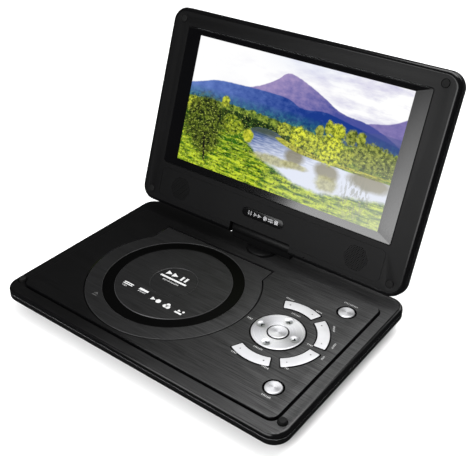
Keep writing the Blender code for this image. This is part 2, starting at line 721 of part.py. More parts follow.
def grille_holes(name, x, s, frame):
    """Small round holes on rings about a speaker's centre."""
    shape = bmesh.new()
    for ring, count in ((0.0, 1), (3.4, 6), (6.8, 12)):
        for i in range(count):
            angle = math.tau * i / count
            hole = Vector((x + ring * math.cos(angle), s + ring * math.sin(angle), 0.0)) * MM
            made = bmesh.ops.create_cone(
                shape, cap_ends=True, segments=6, radius1=0.8 * MM, radius2=0.8 * MM, depth=8 * MM
            )
            bmesh.ops.translate(shape, verts=made["verts"], vec=hole)
    return from_bmesh(name, shape, frame)


def lid_bezel(frame, opening):
    x = LID_HALF_WIDTH
    low, high = (-x, 0, LID_SPLIT), (x, LID_HEIGHT, 0)
    bezel = slab("lid_bezel", low, high, LID_CORNER, top=BEZEL_ROUND, steps=3, parent=frame)
    cut(bezel, lid_cavity("bezel_cavity", LID_SPLIT - 4, -WALL, 0.0, frame))
    x = WINDOW_HALF_WIDTH + GAP
    low, high = (-x, WINDOW_LOW - GAP, -4), (x, WINDOW_HIGH + GAP, 2)
    cut(bezel, slab("window_opening", low, high, 1.8, parent=frame))
    cut(bezel, opening)
    for name, side in (("left", -1), ("right", 1)):
        cut(bezel, grille_holes("grille_" + name, side * SPEAKER_X, SPEAKER_S, frame))
    cut(bezel, slab("badge_seat", (-20.6, 18.2, -0.8), (20.6, 26.3, 1), 3.9, parent=frame))
    for name, (x, s) in LID_BUMPERS.items():
        cut(bezel, disc(name + "_seat", 3.3, x, s, -0.9, 1, 16, frame))
    finish(bezel, SATIN_BLACK)


def lid_back(frame, opening):
    x = LID_HALF_WIDTH
    low, high = (-x, 0, -LID_THICKNESS), (x, LID_HEIGHT, LID_SPLIT - GAP)
    back = slab("lid_back", low, high, LID_CORNER, bottom=7.0, steps=3, parent=frame)
    cut(back, lid_cavity("back_cavity", WALL - LID_THICKNESS, LID_SPLIT + 4, 6.0, frame))
    for name, side in (("left", -1), ("right", 1)):
        ends = sorted((side * (NOTCH_HALF_WIDTH + 0.8), side * 43.0))
        low, high = (ends[0], 0.9, -LID_THICKNESS + 1.0), (ends[1], 8.4, LID_SPLIT - GAP)
        join(back, box("hinge_boss_" + name, low, high, frame))
    cut(back, opening)
    for name, side in (("left", -1), ("right", 1)):
        start, end = (side * 28.0, AXIS_S, AXIS_N), (side * 41.4, AXIS_S, AXIS_N)
        cut(back, cylinder("pin_bore_" + name, PIN_RADIUS + GAP, start, end, 20, frame))
    finish(back, GLOSS_BLACK)


def window_dish(frame):
    """A shallow pan whose four sides slope from near the window's edge down to the picture."""
    x, low, high = PICTURE_HALF_WIDTH, PICTURE_LOW, PICTURE_HIGH
    dish = box("window_dish", (-x, low, -WINDOW_DEPTH), (x, high, 0.0), frame)
    margin = 0.6
    rise = 0.3
    spread = 1 + rise / WINDOW_DEPTH
    wide = x + (WINDOW_HALF_WIDTH - margin - x) * spread
    near = low - (low - WINDOW_LOW - margin) * spread
    far = high + (WINDOW_HIGH - margin - high) * spread
    for vertex in dish.data.vertices:
        if vertex.co.z > -MM / 10:
            vertex.co.x = math.copysign(wide, vertex.co.x) * MM
            vertex.co.y = (near if vertex.co.y < (low + high) / 2 * MM else far) * MM
            vertex.co.z = rise * MM
    return dish


def lid_contents(frame):
    x = WINDOW_HALF_WIDTH
    window = slab("display_window", (-x, WINDOW_LOW, -1.7), (x, WINDOW_HIGH, 0.0), 1.5, parent=frame)
    cut(window, window_dish(frame))
    finish(window, GLOSS_BLACK)
    finish(box("lcd_panel", (-105.5, 36.5, -6.5), (105.5, 159.5, -2.2), frame), STEEL)
    driver = box("display_board", (-80, 52, -8.2), (80, 92, -7.0), frame)
    join(driver, box("driver_chip", (-12, 62, -10.2), (12, 82, -8.0), frame))
    finish(driver, BOARD_GREEN)
    for name, side in (("speaker_left", -1), ("speaker_right", 1)):
        x = side * SPEAKER_X
        speaker = disc(name, 10.5, x, SPEAKER_S, -6.6, -2.2, 32, frame)
        join(speaker, disc(name + "_magnet", 6.5, x, SPEAKER_S, -10.5, -6.0, 24, frame))
        finish(speaker, DARK_PLASTIC)
    badge = slab("lid_badge", (-20.3, 18.5, -0.5), (20.3, 26.0, 0.3), 3.6, top=0.3, parent=frame)
    finish(badge, GLOSS_BLACK)
    for name, (x, s) in LID_BUMPERS.items():
        bumper = disc(name, 3.0, x, s, -0.6, 0.4, 16, frame)
        soften(bumper, 0.3)
        finish(bumper, RUBBER)


def build():
    bottom_case()
    top_case()
    deck_panel()
    feet_and_bumpers()
    battery_bay()
    boards()
    sockets()
    side_controls()
    disc_well()
    disc_cover()
    loader()
    keys()
    frame = lid_frame(swivel())
    opening = notch(frame)
    lid_bezel(frame, opening)
    lid_back(frame, opening)
    lid_contents(frame)


build()
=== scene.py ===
"""Looks for the portable disc player: fine casings, finishes, a lit screen, lights and camera.

Lengths are in millimetres and become metres where a mesh is made. Lid pieces are built in the lid's own
frame: x to the right, s up the screen from its bottom edge, n out of the screen face.
"""

import json
import math

import bmesh
import bpy
from mathutils import Matrix, Vector


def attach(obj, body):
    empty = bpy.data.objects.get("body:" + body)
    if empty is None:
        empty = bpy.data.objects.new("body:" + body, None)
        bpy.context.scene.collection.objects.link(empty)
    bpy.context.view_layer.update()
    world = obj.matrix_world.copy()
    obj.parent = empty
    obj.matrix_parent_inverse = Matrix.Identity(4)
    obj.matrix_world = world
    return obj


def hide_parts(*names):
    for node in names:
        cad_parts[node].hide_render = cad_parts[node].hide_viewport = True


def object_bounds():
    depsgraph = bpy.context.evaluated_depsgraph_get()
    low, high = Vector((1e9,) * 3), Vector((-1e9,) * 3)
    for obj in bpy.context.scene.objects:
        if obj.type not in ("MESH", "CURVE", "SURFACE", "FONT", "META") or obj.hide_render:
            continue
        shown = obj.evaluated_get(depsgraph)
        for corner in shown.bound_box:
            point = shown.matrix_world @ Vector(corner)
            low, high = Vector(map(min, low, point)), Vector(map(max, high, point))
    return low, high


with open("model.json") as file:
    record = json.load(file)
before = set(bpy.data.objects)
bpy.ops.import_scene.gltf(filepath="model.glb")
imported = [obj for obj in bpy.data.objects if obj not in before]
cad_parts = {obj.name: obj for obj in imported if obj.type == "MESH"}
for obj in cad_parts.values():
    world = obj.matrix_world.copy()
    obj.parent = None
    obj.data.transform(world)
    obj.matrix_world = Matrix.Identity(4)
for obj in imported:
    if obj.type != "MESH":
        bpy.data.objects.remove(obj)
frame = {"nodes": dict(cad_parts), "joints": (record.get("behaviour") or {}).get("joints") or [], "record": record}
CAD_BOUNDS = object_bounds()
MM = 0.001
NODES = frame["nodes"]
JOINTS = {joint["name"]: joint for joint in frame["joints"]}


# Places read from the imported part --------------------


def lid_matrix():
    """The lid's own frame, from its tilt joint and the bezel's mesh."""
    tilt = JOINTS["lid_tilt"]
    lean = -tilt["range_deg"][0] - 90.0
    turned = Matrix.Rotation(math.radians(90.0 - lean), 4, "X")
    turned.translation = Vector(tilt["pos_m"])
    back = turned.inverted()
    points = [back @ v.co for v in NODES["lid_bezel"].data.vertices]
    low_s = min(p.y for p in points)
    face = max(p.z for p in points)
    return turned @ Matrix.Translation((0.0, low_s, face))


LID = lid_matrix()
HERE = Matrix.Identity(4)


def span(node, place=HERE):
    """The lowest and highest corners of a node in a frame, in millimetres."""
    back = place.inverted()
    points = [back @ v.co / MM for v in NODES[node].data.vertices]
    low = Vector([min(p[i] for p in points) for i in range(3)])
    high = Vector([max(p[i] for p in points) for i in range(3)])
    return low, high


def middle(node, place=HERE):
    low, high = span(node, place)
    return (low + high) / 2


SPINDLE = middle("disc_spindle")
NAV = middle("nav_ring")
COVER_LOW, COVER_HIGH = span("disc_cover")
DECK_LOW, DECK_HIGH = span("deck_panel")
TOP_LOW, TOP_HIGH = span("top_case")
BOTTOM_LOW, BOTTOM_HIGH = span("bottom_case")
BEZEL_LOW, BEZEL_HIGH = span("lid_bezel", LID)
BACK_LOW, BACK_HIGH = span("lid_back", LID)
WINDOW_LOW, WINDOW_HIGH = span("display_window", LID)
SURFACE = DECK_HIGH.z
SPLIT = BOTTOM_HIGH.z
BORDER_TOP = TOP_HIGH.z
BORDER_LOW = TOP_LOW.z
COVER_RADIUS = SPINDLE.y - COVER_LOW.y
HINGE = Vector(JOINTS["lid_tilt"]["pos_m"]) / MM
COVER_HINGE = Vector(JOINTS["cover_hinge"]["pos_m"]) / MM
ROUND_KEYS = ("round_key_rear", "round_key_front")
BATTERY_SCREWS = ("battery_screw_front", "battery_screw_rear")
SOCKETS = ("dc_socket", "av_socket", "headphone_socket_front", "headphone_socket_rear")
FEET = ("foot_front_left", "foot_front_right", "foot_rear_left", "foot_rear_right")
BASE_BUMPERS = ("base_bumper_left", "base_bumper_right")
LID_BUMPERS = [name for name in NODES if name.startswith("lid_bumper")]
SPEAKERS = ("speaker_left", "speaker_right")

# Sizes that follow the part's source, in millimetres
WALL = 1.8
BASE_CORNER = 13.0
BASE_REAR = 91.0
BELLY = 11.0  # how far the base's underside slopes in
BORDER_ROUND = 3.0
DECK_CORNER = 6.0
DECK_SEAT = 19.0
SEAM_FLOOR = 19.3
GLOSS_BAND = 4.3  # glossy strip along the base's sides
PAD_RADIUS = 18.0  # bulge of the base behind the turntable
TURNTABLE_RADIUS = 13.5
SHAFT_RADIUS = 6.5
BARREL_RADIUS = 4.8
HINGE_PLAY = 0.15
PIN_WAY = 2.3
SOCKET_WALL = ((-132.0, -63.0, 4.9), (-122.0, 46.0, 14.2))
SOCKET_BAY = ((-130.2, -61.2, 6.1), (-120.0, 44.2, 16.2))
SOCKET_HEIGHT = 11.6
GROOVE_OUTER = 56.1
GROOVE_INNER = 46.6
GROOVE_DEPTH = 0.8
HUB_MARK = 18.8  # radius of the printed recess in the cover
HUB_DEPTH = 0.45
TAB_HALF_WIDTH = 55.0
TAB_X = -27.9
ARC_KEYS = {
    "key_rear": (66.0, 116.0),
    "key_right_rear": (5.5, 57.0),
    "key_right_front": (-53.0, -4.0),
    "key_front": (-117.0, -65.0),
}
ARC_INNER = 28.5
ARC_OUTER = 37.5
NAV_RADIUS = 20.0
NAV_HOLE = 8.2
DIMPLE_RADIUS = 3.9
DIMPLE_REACH = 14.6
SELECT_RADIUS = 7.6
KEY_SEAM = 0.8
LID_CORNER = 12.5
BEZEL_ROUND = 3.3
BACK_ROUND = 7.6
NOTCH_HALF_WIDTH = 30.0
NOTCH_HEIGHT = 9.2
GRILLE_REACH = 10.3
GRILLE_PITCH = 1.5
GRILLE_HOLE = 0.40
PICTURE_HALF_WIDTH = 98.9
PICTURE_LOW = 44.5
PICTURE_HIGH = 151.6
PICTURE_DEPTH = 1.2
RIM = 0.6  # satin border round the window's sloping frame
LEAST_CORNER = 0.02
GRIT_SIZE = 0.35

# Light and view, in metres, watts and degrees
WORLD_HIGH = 0.05
WORLD_LOW = 0.01
FLOOR_REFLECTED = 0.02
FLOOR_REACH = 6.0
VIEW_TARGET = Vector((-0.03765, 0.09527, 0.020))
VIEW_AZIMUTH = 36.87
VIEW_ELEVATION = 32.21
VIEW_ROLL = 0.503
VIEW_DISTANCE = 0.68721
VIEW_LENS = 59.55


# Shapes --------------------


def add_piece(name, data, place=HERE):
    made = bpy.data.objects.new(name, data)
    bpy.context.scene.collection.objects.link(made)
    made.matrix_world = place
    return made


def polar(x, y, radius, angle):
    return x + radius * math.cos(angle), y + radius * math.sin(angle)


def round_rect(x, y, half_x, half_y, corner, steps=10):
    """An outline that shrinks by the inset asked for."""

    def outline(inset):
        radius = max(corner - inset, LEAST_CORNER)
        reach_x = half_x - inset - radius
        reach_y = half_y - inset - radius
        points = []
        for quarter, (sx, sy) in enumerate(((1, 1), (-1, 1), (-1, -1), (1, -1))):
            turns = [math.pi / 2 * (quarter + i / steps) for i in range(steps + 1)]
            points += [polar(x + sx * reach_x, y + sy * reach_y, radius, turn) for turn in turns]
        return points

    return outline


def between(low, high, corner, steps=10):
    """A round rectangle between two corners, seen along z."""
    x, y = (low.x + high.x) / 2, (low.y + high.y) / 2
    return round_rect(x, y, (high.x - low.x) / 2, (high.y - low.y) / 2, corner, steps)


def circle(x, y, radius, steps=96):
    def outline(inset):
        return [polar(x, y, radius - inset, math.tau * i / steps) for i in range(steps)]

    return outline


def about(node, radius, sides=48, place=HERE):
    """A circle about the middle of a node."""
    spot = middle(node, place)
    return circle(spot.x, spot.y, radius, sides)


def bent_rect(x, y, inner, outer, start, end, corner=1.2, steps=6, along=14):
    """A round rectangle bent round a centre, between two radii and two angles."""
    mid_radius = (inner + outer) / 2
    mid_angle = math.radians(start + end) / 2
    half_length = math.radians(end - start) / 2 * mid_radius
    flat = round_rect(0.0, 0.0, half_length, (outer - inner) / 2, corner, steps)

    def outline(inset):
        points = []
        corners = flat(inset)
        for (x0, y0), (x1, y1) in zip(corners, corners[1:] + corners[:1]):
            pieces = along if abs(x1 - x0) > half_length else 1
            for i in range(pieces):
                t, r = x0 + (x1 - x0) * i / pieces, y0 + (y1 - y0) * i / pieces
                points.append(polar(x, y, mid_radius + r, mid_angle - t / mid_radius))
        return points[::-1]

    return outline


def cover_shape(rear, steps=120):
    """The disc cover from above: a round front and a square tab towards the hinge."""

    def outline(inset):
        radius = COVER_RADIUS - inset
        right = TAB_X + TAB_HALF_WIDTH - inset
        left = TAB_X - TAB_HALF_WIDTH + inset
        start = math.pi - math.acos((SPINDLE.x - left) / radius)
        end = math.tau + math.acos((right - SPINDLE.x) / radius)
        turns = [start + (end - start) * i / steps for i in range(steps + 1)]
        front = [polar(SPINDLE.x, SPINDLE.y, radius, turn) for turn in turns]
        return front + [(right, rear - inset), (left, rear - inset)]

    return outline


def from_bmesh(name, shape, place):
    data = bpy.data.meshes.new(name)
    shape.to_mesh(data)
    shape.free()
    return add_piece(name, data, place)


def skin(name, rings, place=HERE, closed=False):
    """Rings of points in metres joined in turn, then capped, or closed from the last ring to the first."""
    shape = bmesh.new()
    made = [[shape.verts.new(point) for point in ring] for ring in rings]
    for lower, upper in zip(made, made[1:] + made[:1] if closed else made[1:]):
        for i in range(len(lower)):
            j = (i + 1) % len(lower)
            shape.faces.new((lower[i], lower[j], upper[j], upper[i]))
    if not closed:
        shape.faces.new(made[0][::-1])
        shape.faces.new(made[-1])
    bmesh.ops.recalc_face_normals(shape, faces=shape.faces)
    return from_bmesh(name, shape, place)


def loft(name, outline, profile, place=HERE, closed=False):
    """Rings of the outline at each (inset, height) of the profile."""
    rings = [[(x * MM, y * MM, height * MM) for x, y in outline(inset)] for inset, height in profile]
    return skin(name, rings, place, closed)


def block(name, low, high, place=HERE):
    corners = between(Vector(low), Vector(high), LEAST_CORNER, 1)
    return loft(name, corners, [(0.0, low[2]), (0.0, high[2])], place)


def edge_curve(radius, height, steps=4, up=True):
    """Profile points that round a top edge over to the height, or a bottom edge up from it."""
    points = []
    for i in range(steps + 1):
        angle = math.pi / 2 * i / steps
        if up:
            points.append((radius * (1 - math.cos(angle)), height - radius * (1 - math.sin(angle))))
        else:
            points.append((radius * (1 - math.sin(angle)), height + radius * (1 - math.cos(angle))))
    return points


def plate(name, outline, low, high, top=0.3, bottom=0.0, place=HERE, steps=4):
    rise = edge_curve(bottom, low, steps, up=False) if bottom else [(0.0, low)]
    return loft(name, outline, rise + edge_curve(top, high, steps), place)


def hole(outline, low, surface, lip=0.25, place=HERE):
    """A cutter that leaves a rounded lip where it meets the surface."""
    profile = [(0.0, low), (0.0, surface - lip)]
    for turn in (0.4, 0.8, 1.2, math.pi / 2):
        profile.append((-lip * (1 - math.cos(turn)), surface - lip + lip * math.sin(turn)))
    return loft("hole", outline, profile + [(-lip, surface + 3.0)], place)


def wells(names, radius, low, high, sides=48):
    """Straight round cutters, one about the middle of each named node."""
    return [loft("well", about(name, radius, sides), [(0, low), (0, high)]) for name in names]


def trench(outline, width, low, high, place=HERE):
    """A cutter for a narrow groove that follows an outline."""
    half = width / 2
    profile = [(-half, low), (-half, high), (half, high), (half, low)]
    return loft("trench", outline, profile, place, closed=True)


def rod(name, radius, start, end, sides=48, place=HERE, round_ends=0.4):
    """A straight bar between two points, with its ends rounded."""
    first, last = Vector(start), Vector(end)
    along = last - first
    turn = Vector((0, 0, 1)).rotation_difference(along).to_matrix().to_4x4()
    turn.translation = first * MM
    profile = edge_curve(round_ends, 0.0, 3, up=False) + edge_curve(round_ends, along.length, 3)
    made = loft(name, circle(0, 0, radius, sides), profile)
    made.data.transform(turn)
    made.matrix_world = place
    return made


def carve(target, *tools, operation="DIFFERENCE"):
    """Cuts or joins the tools and removes them."""
    for tool in tools:
        modifier = target.modifiers.new("carve", "BOOLEAN")
        modifier.operation = operation
        modifier.solver = "EXACT"
        modifier.object = tool
    graph = bpy.context.evaluated_depsgraph_get()
    data = bpy.data.meshes.new_from_object(target.evaluated_get(graph))
    target.modifiers.clear()
    target.data = data
    for tool in tools:
        bpy.data.objects.remove(tool, do_unlink=True)


def merge(name, pieces, place=HERE):
    """One object from several meshes that share a place."""
    shape = bmesh.new()
    for piece in pieces:
        shape.from_mesh(piece.data)
        bpy.data.objects.remove(piece, do_unlink=True)
    return from_bmesh(name, shape, place)


def finish_piece(piece, material, slot, body, *nodes, sharp=38):
    """Shades a piece, gives it its material and hangs it on its CAD body; lid pieces lose their own place."""
    if body == "lid":
        piece.data.transform(piece.matrix_world)
        piece.matrix_world = HERE
    piece.data.materials.clear()
    piece.data.materials.append(material)
    piece.data.shade_smooth()
    piece.data.set_sharp_from_angle(angle=math.radians(sharp))
    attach(piece, body)
    if nodes:
        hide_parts(*nodes)


def repaint(piece, material, test):
    """Gives a second material to the faces whose middle (in millimetres) and normal pass a test."""
    piece.data.materials.append(material)
    index = len(piece.data.materials) - 1
    for face in piece.data.polygons:
        if test(face.center / MM, face.normal):
            face.material_index = index


# Materials --------------------


class Tree:
    """Adds nodes to a node tree with their settings and inputs."""

    def __init__(self, tree):
        self.tree = tree

    def add(self, kind, inputs=(), **settings):
        node = self.tree.nodes.new(kind)
        for key, value in settings.items():
            setattr(node, key, value)
        for key, value in dict(inputs).items():
            self.feed(node.inputs[key], value)
        return node

    def feed(self, socket, value):
        """Links a field or a socket, or sets a plain value."""
        if isinstance(value, Field):
            value = value.socket
        if isinstance(value, bpy.types.NodeSocket):
            self.tree.links.new(value, socket)
        else:
            socket.default_value = value

    def unless_reflected(self, seen, reflected):
        """One shader for direct sight and diffuse light, another for what glossy surfaces reflect."""
        glossy = self.add("ShaderNodeLightPath").outputs["Is Glossy Ray"]
        return self.add("ShaderNodeMixShader", {0: glossy, 1: seen, 2: reflected}).outputs[0]


class Graph(Tree):
    """Short names for the shader nodes of one material."""

    def __init__(self, name):
        self.material = bpy.data.materials.new(name)
        self.material.use_nodes = True
        super().__init__(self.material.node_tree)
        self.shader = self.tree.nodes["Principled BSDF"]
        self.coordinates = self.add("ShaderNodeTexCoord").outputs["Object"]

    def set(self, **values):
        for key, value in values.items():
            self.feed(self.shader.inputs[key.replace("_", " ")], value)

    def scaled(self, x, y, z, source=None):
        inputs = {"Vector": source or self.coordinates, "Scale": (x, y, z)}
        return self.add("ShaderNodeMapping", inputs).outputs["Vector"]

    def noise(self, vector, scale=1.0, detail=4.0, roughness=0.55):
        inputs = {"Vector": vector, "Scale": scale, "Detail": detail, "Roughness": roughness}
        return Field(self, self.add("ShaderNodeTexNoise", inputs).outputs["Fac"])

    def axis(self, index, source=None):
        split = self.add("ShaderNodeSeparateXYZ", {0: source or self.coordinates})
        return Field(self, split.outputs[index])

    def vector(self, x, y, z=0.0):
        return self.add("ShaderNodeCombineXYZ", {0: x, 1: y, 2: z}).outputs[0]

    def mix(self, low, high, amount):
        """A colour between two, by an amount from 0 to 1."""
        low, high = ((*end, 1.0) if isinstance(end, tuple) else end for end in (low, high))
        inputs = {0: amount, 6: low, 7: high}
        return self.add("ShaderNodeMix", inputs, data_type="RGBA", clamp_factor=True).outputs[2]

    def bump(self, height, strength, distance):
        inputs = {"Height": height, "Strength": strength, "Distance": distance}
        self.set(Normal=self.add("ShaderNodeBump", inputs).outputs[0])


class Field:
    """A number that varies over a surface, worked out by maths nodes."""

    def __init__(self, graph, socket):
        self.graph = graph
        self.socket = socket

    def apply(self, operation, *others):
        node = self.graph.add("ShaderNodeMath", operation=operation)
        for socket, value in zip(node.inputs, (self, *others)):
            self.graph.feed(socket, value)
        return Field(self.graph, node.outputs[0])

    def __add__(self, other):
        return self.apply("ADD", other)

    def __sub__(self, other):
        return self.apply("SUBTRACT", other)

    def __mul__(self, other):
        return self.apply("MULTIPLY", other)

    def __truediv__(self, other):
        return self.apply("DIVIDE", other)

    def __pow__(self, other):
        return self.apply("POWER", other)

    def above(self, edge, soft=0.01):
        """0 below the edge and 1 above it, with a soft step."""
        return ((self - edge) / soft + 0.5).apply("MAXIMUM", 0.0).apply("MINIMUM", 1.0)

    def inverse(self):
        return self * -1.0 + 1.0

    def below(self, edge, soft=0.01):
        return self.above(edge, soft).inverse()

    def size(self):
        return self.apply("ABSOLUTE")

    def lesser(self, other):
        return self.apply("MINIMUM", other)

    def greater(self, other):
        return self.apply("MAXIMUM", other)


def plastic(name, colour, roughness, grain=0.0, shine=0.5, coat=0.0):
    """Moulded plastic with a fine spark grain, and colour that drifts a little."""
    graph = Graph(name)
    grit = graph.noise(graph.coordinates, 1.0 / (GRIT_SIZE * MM), 2.0)
    drift = graph.noise(graph.coordinates, 25.0, 3.0)
    low, high = (tuple(c * share for c in colour) for share in (0.85, 1.15))
    graph.set(Base_Color=graph.mix(low, high, drift * 0.6 + grit * 0.4))
    graph.set(Roughness=(drift - 0.5) * 0.12 + (grit - 0.5) * 0.10 + roughness)
    graph.set(Coat_Weight=coat, Coat_Roughness=0.05, Specular_IOR_Level=shine)
    if grain:
        graph.bump(grit, grain, 0.05 * MM)
    return graph.material


def brushed(name, dark, light, painted_sheen, roughness=0.46, metallic=0.3):
    """Hairline brushing along x in colour and relief, with a painted highlight: a lighter colour that grows to the
    right in place of reflected light.
    """
    graph = Graph(name)
    fine = graph.noise(graph.scaled(45.0, 4200.0, 1200.0), 1.0, 3.0, 0.6)
    broad = graph.noise(graph.scaled(16.0, 1100.0, 400.0), 1.0, 2.0, 0.5)
    streak = (fine * 0.8 + broad * 0.2 - 0.33) * 3.0
    # painted highlight: the hairlines' light colour turns towards the highlight colour from left to right
    rise = (graph.axis(0) / MM + 55.0) / 180.0
    bright = graph.mix(light, painted_sheen, rise.greater(0.0).lesser(1.0) ** 1.3)
    graph.set(Base_Color=graph.mix(dark, bright, streak))
    graph.set(Roughness=(fine - 0.5) * 0.25 + roughness, Metallic=metallic)
    graph.set(Anisotropic=0.6, Specular_IOR_Level=0.2, Tangent=graph.vector(0.0, 1.0, 0.0))
    graph.bump(streak, 0.25, 0.02 * MM)
    return graph.material


def plated(name, colour=(0.66, 0.66, 0.68), roughness=0.2, metallic=0.4, turned=True):
    """Plated metal with turned rings about the piece's own centre and painted shade that darkens it to its left
    and right, in place of the reflections of turned metal.
    """
    graph = Graph(name)
    x, y = graph.axis(0), graph.axis(1)
    radius = (x * x + y * y) ** 0.5
    rings = graph.noise(graph.vector(radius, 0.0), 5200.0, 2.0)
    # painted shade: turned metal darkens towards its left and right sides
    side = (x.size() / (radius + 0.0001)) ** 3.0
    # unturned metal gets a random mottle in place of the painted shade
    if not turned:
        side = graph.noise(graph.coordinates, 60.0, 2.0) * 0.6
    shade = rings * 0.25 + side * 0.75
    low = tuple(c * 0.30 for c in colour)
    graph.set(Base_Color=graph.mix(colour, low, shade), Metallic=metallic, Roughness=rings * 0.12 + roughness)
    graph.bump(rings, 0.15, 0.01 * MM)
    return graph.material


def rubber(name):
    graph = Graph(name)
    grit = graph.noise(graph.coordinates, 4200.0, 2.0)
    graph.set(Base_Color=graph.mix((0.002, 0.002, 0.002), (0.006, 0.006, 0.006), grit), Roughness=0.7)
    graph.set(Specular_IOR_Level=0.2)
    graph.bump(grit, 0.3, 0.05 * MM)
    return graph.material


def board(name):
    """Green circuit board with copper tracks under the lacquer."""
    graph = Graph(name)
    x = graph.noise(graph.scaled(60.0, 900.0, 1.0), 1.0, 0.0)
    y = graph.noise(graph.scaled(900.0, 60.0, 1.0), 1.0, 0.0)
    tracks = x.greater(y).above(0.56, 0.03)
    graph.set(Base_Color=graph.mix((0.01, 0.07, 0.03), (0.03, 0.18, 0.07), tracks), Roughness=0.35)
    graph.bump(tracks, 0.3, 0.05 * MM)
    return graph.material


def printed(name, colour):
    """White screen-printed ink, slightly uneven."""
    graph = Graph(name)
    patch = graph.noise(graph.coordinates, 2500.0, 2.0)
    low = tuple(c * 0.75 for c in colour)
    graph.set(Base_Color=graph.mix(low, colour, patch), Roughness=0.5)
    return graph.material


SATIN = plastic("satin_black", (0.0032, 0.0032, 0.0034), 0.42, grain=0.25, shine=0.14)
BACK_GLOSS = plastic("gloss_black", (0.006, 0.006, 0.0065), 0.16)
DARK = plastic("dark_plastic", (0.010, 0.010, 0.0105), 0.55, grain=0.15)
# near black for the cover's groove ring and the printed arrows, and painted shade on key sides and the key board
# in the gaps
GROOVE_AND_SHADE_BLACK = plastic("groove_and_shade_black", (0.0008, 0.0008, 0.0008), 0.35, shine=0.05)
# the third colour is the painted highlight that grows to the right
BRUSHED = brushed("brushed_black", (0.0012, 0.0012, 0.0012), (0.006, 0.006, 0.0062), (0.085, 0.085, 0.086))
RIM_BLACK = plastic("rim_black", (0.002, 0.002, 0.0022), 0.18, shine=0.3)
RUBBER = rubber("rubber")
# turned silver, with painted shade to its left and right
SILVER = plated("silver")
# a lighter brushed finish for the disc cover; its third colour is the painted highlight that grows to the right
COVER_BRUSHED = brushed("brushed_cover", (0.005, 0.005, 0.005), (0.020, 0.020, 0.0205), (0.070, 0.070, 0.071))
KEY_SILVER = plated("key_silver", (0.64, 0.64, 0.66), 0.3, 0.25, turned=False)
EDGE_HIGHLIGHT = plastic("painted_edge_highlight", (0.30, 0.30, 0.31), 0.3)
STEEL = plated("steel", (0.50, 0.51, 0.53), 0.3, 0.9, turned=False)
CHROME = plated("chrome", (0.85, 0.85, 0.87), 0.12, 0.8, turned=False)
BOARD = board("board")
WRAP = plastic("battery_wrap", (0.05, 0.06, 0.08), 0.35)
PANEL = plastic("panel_frame", (0.28, 0.29, 0.30), 0.4)
LENS = plastic("lens_coating", (0.03, 0.05, 0.16), 0.08, coat=1.0)
INK = printed("white_ink", (0.55, 0.55, 0.55))
CAPTION_INK = printed("caption_ink", (0.50, 0.50, 0.50))
RIM_HIGHLIGHT = plastic("painted_rim_highlight", (0.035, 0.035, 0.036), 0.3)
FAINT_INK = printed("grey_ink", (0.05, 0.05, 0.05))

CARRIED = {
    "satin_black": SATIN,
    "brushed_black": BRUSHED,
    "gloss_black": BACK_GLOSS,
    "display": BACK_GLOSS,
    "rubber": RUBBER,
    "steel": STEEL,
    "panel": PANEL,
    "battery": WRAP,
    "board": BOARD,
    "dark_plastic": DARK,
    "lens": LENS,
    "silver": SILVER,
}


def dress_cad_nodes():
    """Gives every CAD node the material of its slot; the fine pieces stand for some of them later."""
    for part in frame["record"]["subparts"]:
        node = NODES[part["node"]]
        node.data.materials.clear()
        node.data.materials.append(CARRIED[part["material_slot"]])
        node.data.shade_smooth()
        node.data.set_sharp_from_angle(angle=math.radians(34))
    # painted shade: the key board under the keys is near black in place of its board colour, so the gaps round the
    # keys look dark
    NODES["key_board"].data.materials[0] = GROOVE_AND_SHADE_BLACK


# Base --------------------


BASE_MIDDLE = (BASE_REAR + BOTTOM_LOW.y) / 2
BASE = round_rect(0.0, BASE_MIDDLE, BOTTOM_HIGH.x, (BASE_REAR - BOTTOM_LOW.y) / 2, BASE_CORNER, 14)
DECK = between(DECK_LOW, DECK_HIGH, DECK_CORNER)


def build_bottom_case():
    lower = [(BELLY + 1.2, 0.0), (BELLY + 0.3, 0.1), (BELLY - 0.9, 0.9)]
    upper = [(0.9, BELLY - 0.9), (0.1, BELLY + 0.3), (0.0, BELLY + 1.2)]
    case = loft("lower_case", BASE, lower + upper + edge_curve(0.35, SPLIT, 3))
    pad = plate("lower_pad", circle(0, HINGE.y, PAD_RADIUS), 5.0, SPLIT - 0.2, 0.4)
    carve(case, pad, block("socket_wall", *SOCKET_WALL), operation="UNION")
    inner = [(WALL + BELLY - 1, WALL), (WALL, WALL + BELLY - 1), (WALL, SPLIT + 5)]
    cavity = loft("cavity", BASE, inner)
    pad_cavity = plate("pad_cavity", circle(0, HINGE.y, PAD_RADIUS - 2.2), 6.8, SPLIT + 4, 0.1)
    carve(case, cavity, pad_cavity, block("socket_bay", *SOCKET_BAY))
    door_low, door_high = span("battery_cover")
    bars = []
    for front, rear in ((-57.0, -49.5), (49.5, 57.0)):
        bars.append(block("bar", (door_low.x - 6, front, 1.0), (door_high.x + 6, rear, 4.2)))
    carve(case, *bars, operation="UNION")
    door = between(door_low, door_high, 3.0)
    tools = [loft("door", door, [(-0.3, -1.0), (-0.3, WALL + 0.3)])]
    tools += wells(BATTERY_SCREWS, 1.6, 0.5, 5.0, 24) + wells(FEET, 6.3, -1.0, 1.0)
    tools.append(trench(round_rect(0, 0, 36, 21, 2.0), 0.6, -1.0, 0.4))
    side = BOTTOM_LOW.x
    for name in SOCKETS:
        y = middle(name).y
        tools.append(rod("way", 2.9, (side - 2, y, SOCKET_HEIGHT), (side + 3, y, SOCKET_HEIGHT), 36))
    tools.append(block("power_slot", (side - 2, 8.6, 10.1), (side + 4, 19.4, 12.9)))
    tools.append(block("volume_slot", (side - 2, 27.6, 10.2), (side + 4, 42.4, 13.2)))
    carve(case, *tools)
    finish_piece(case, SATIN, "satin_black", "base", "bottom_case")


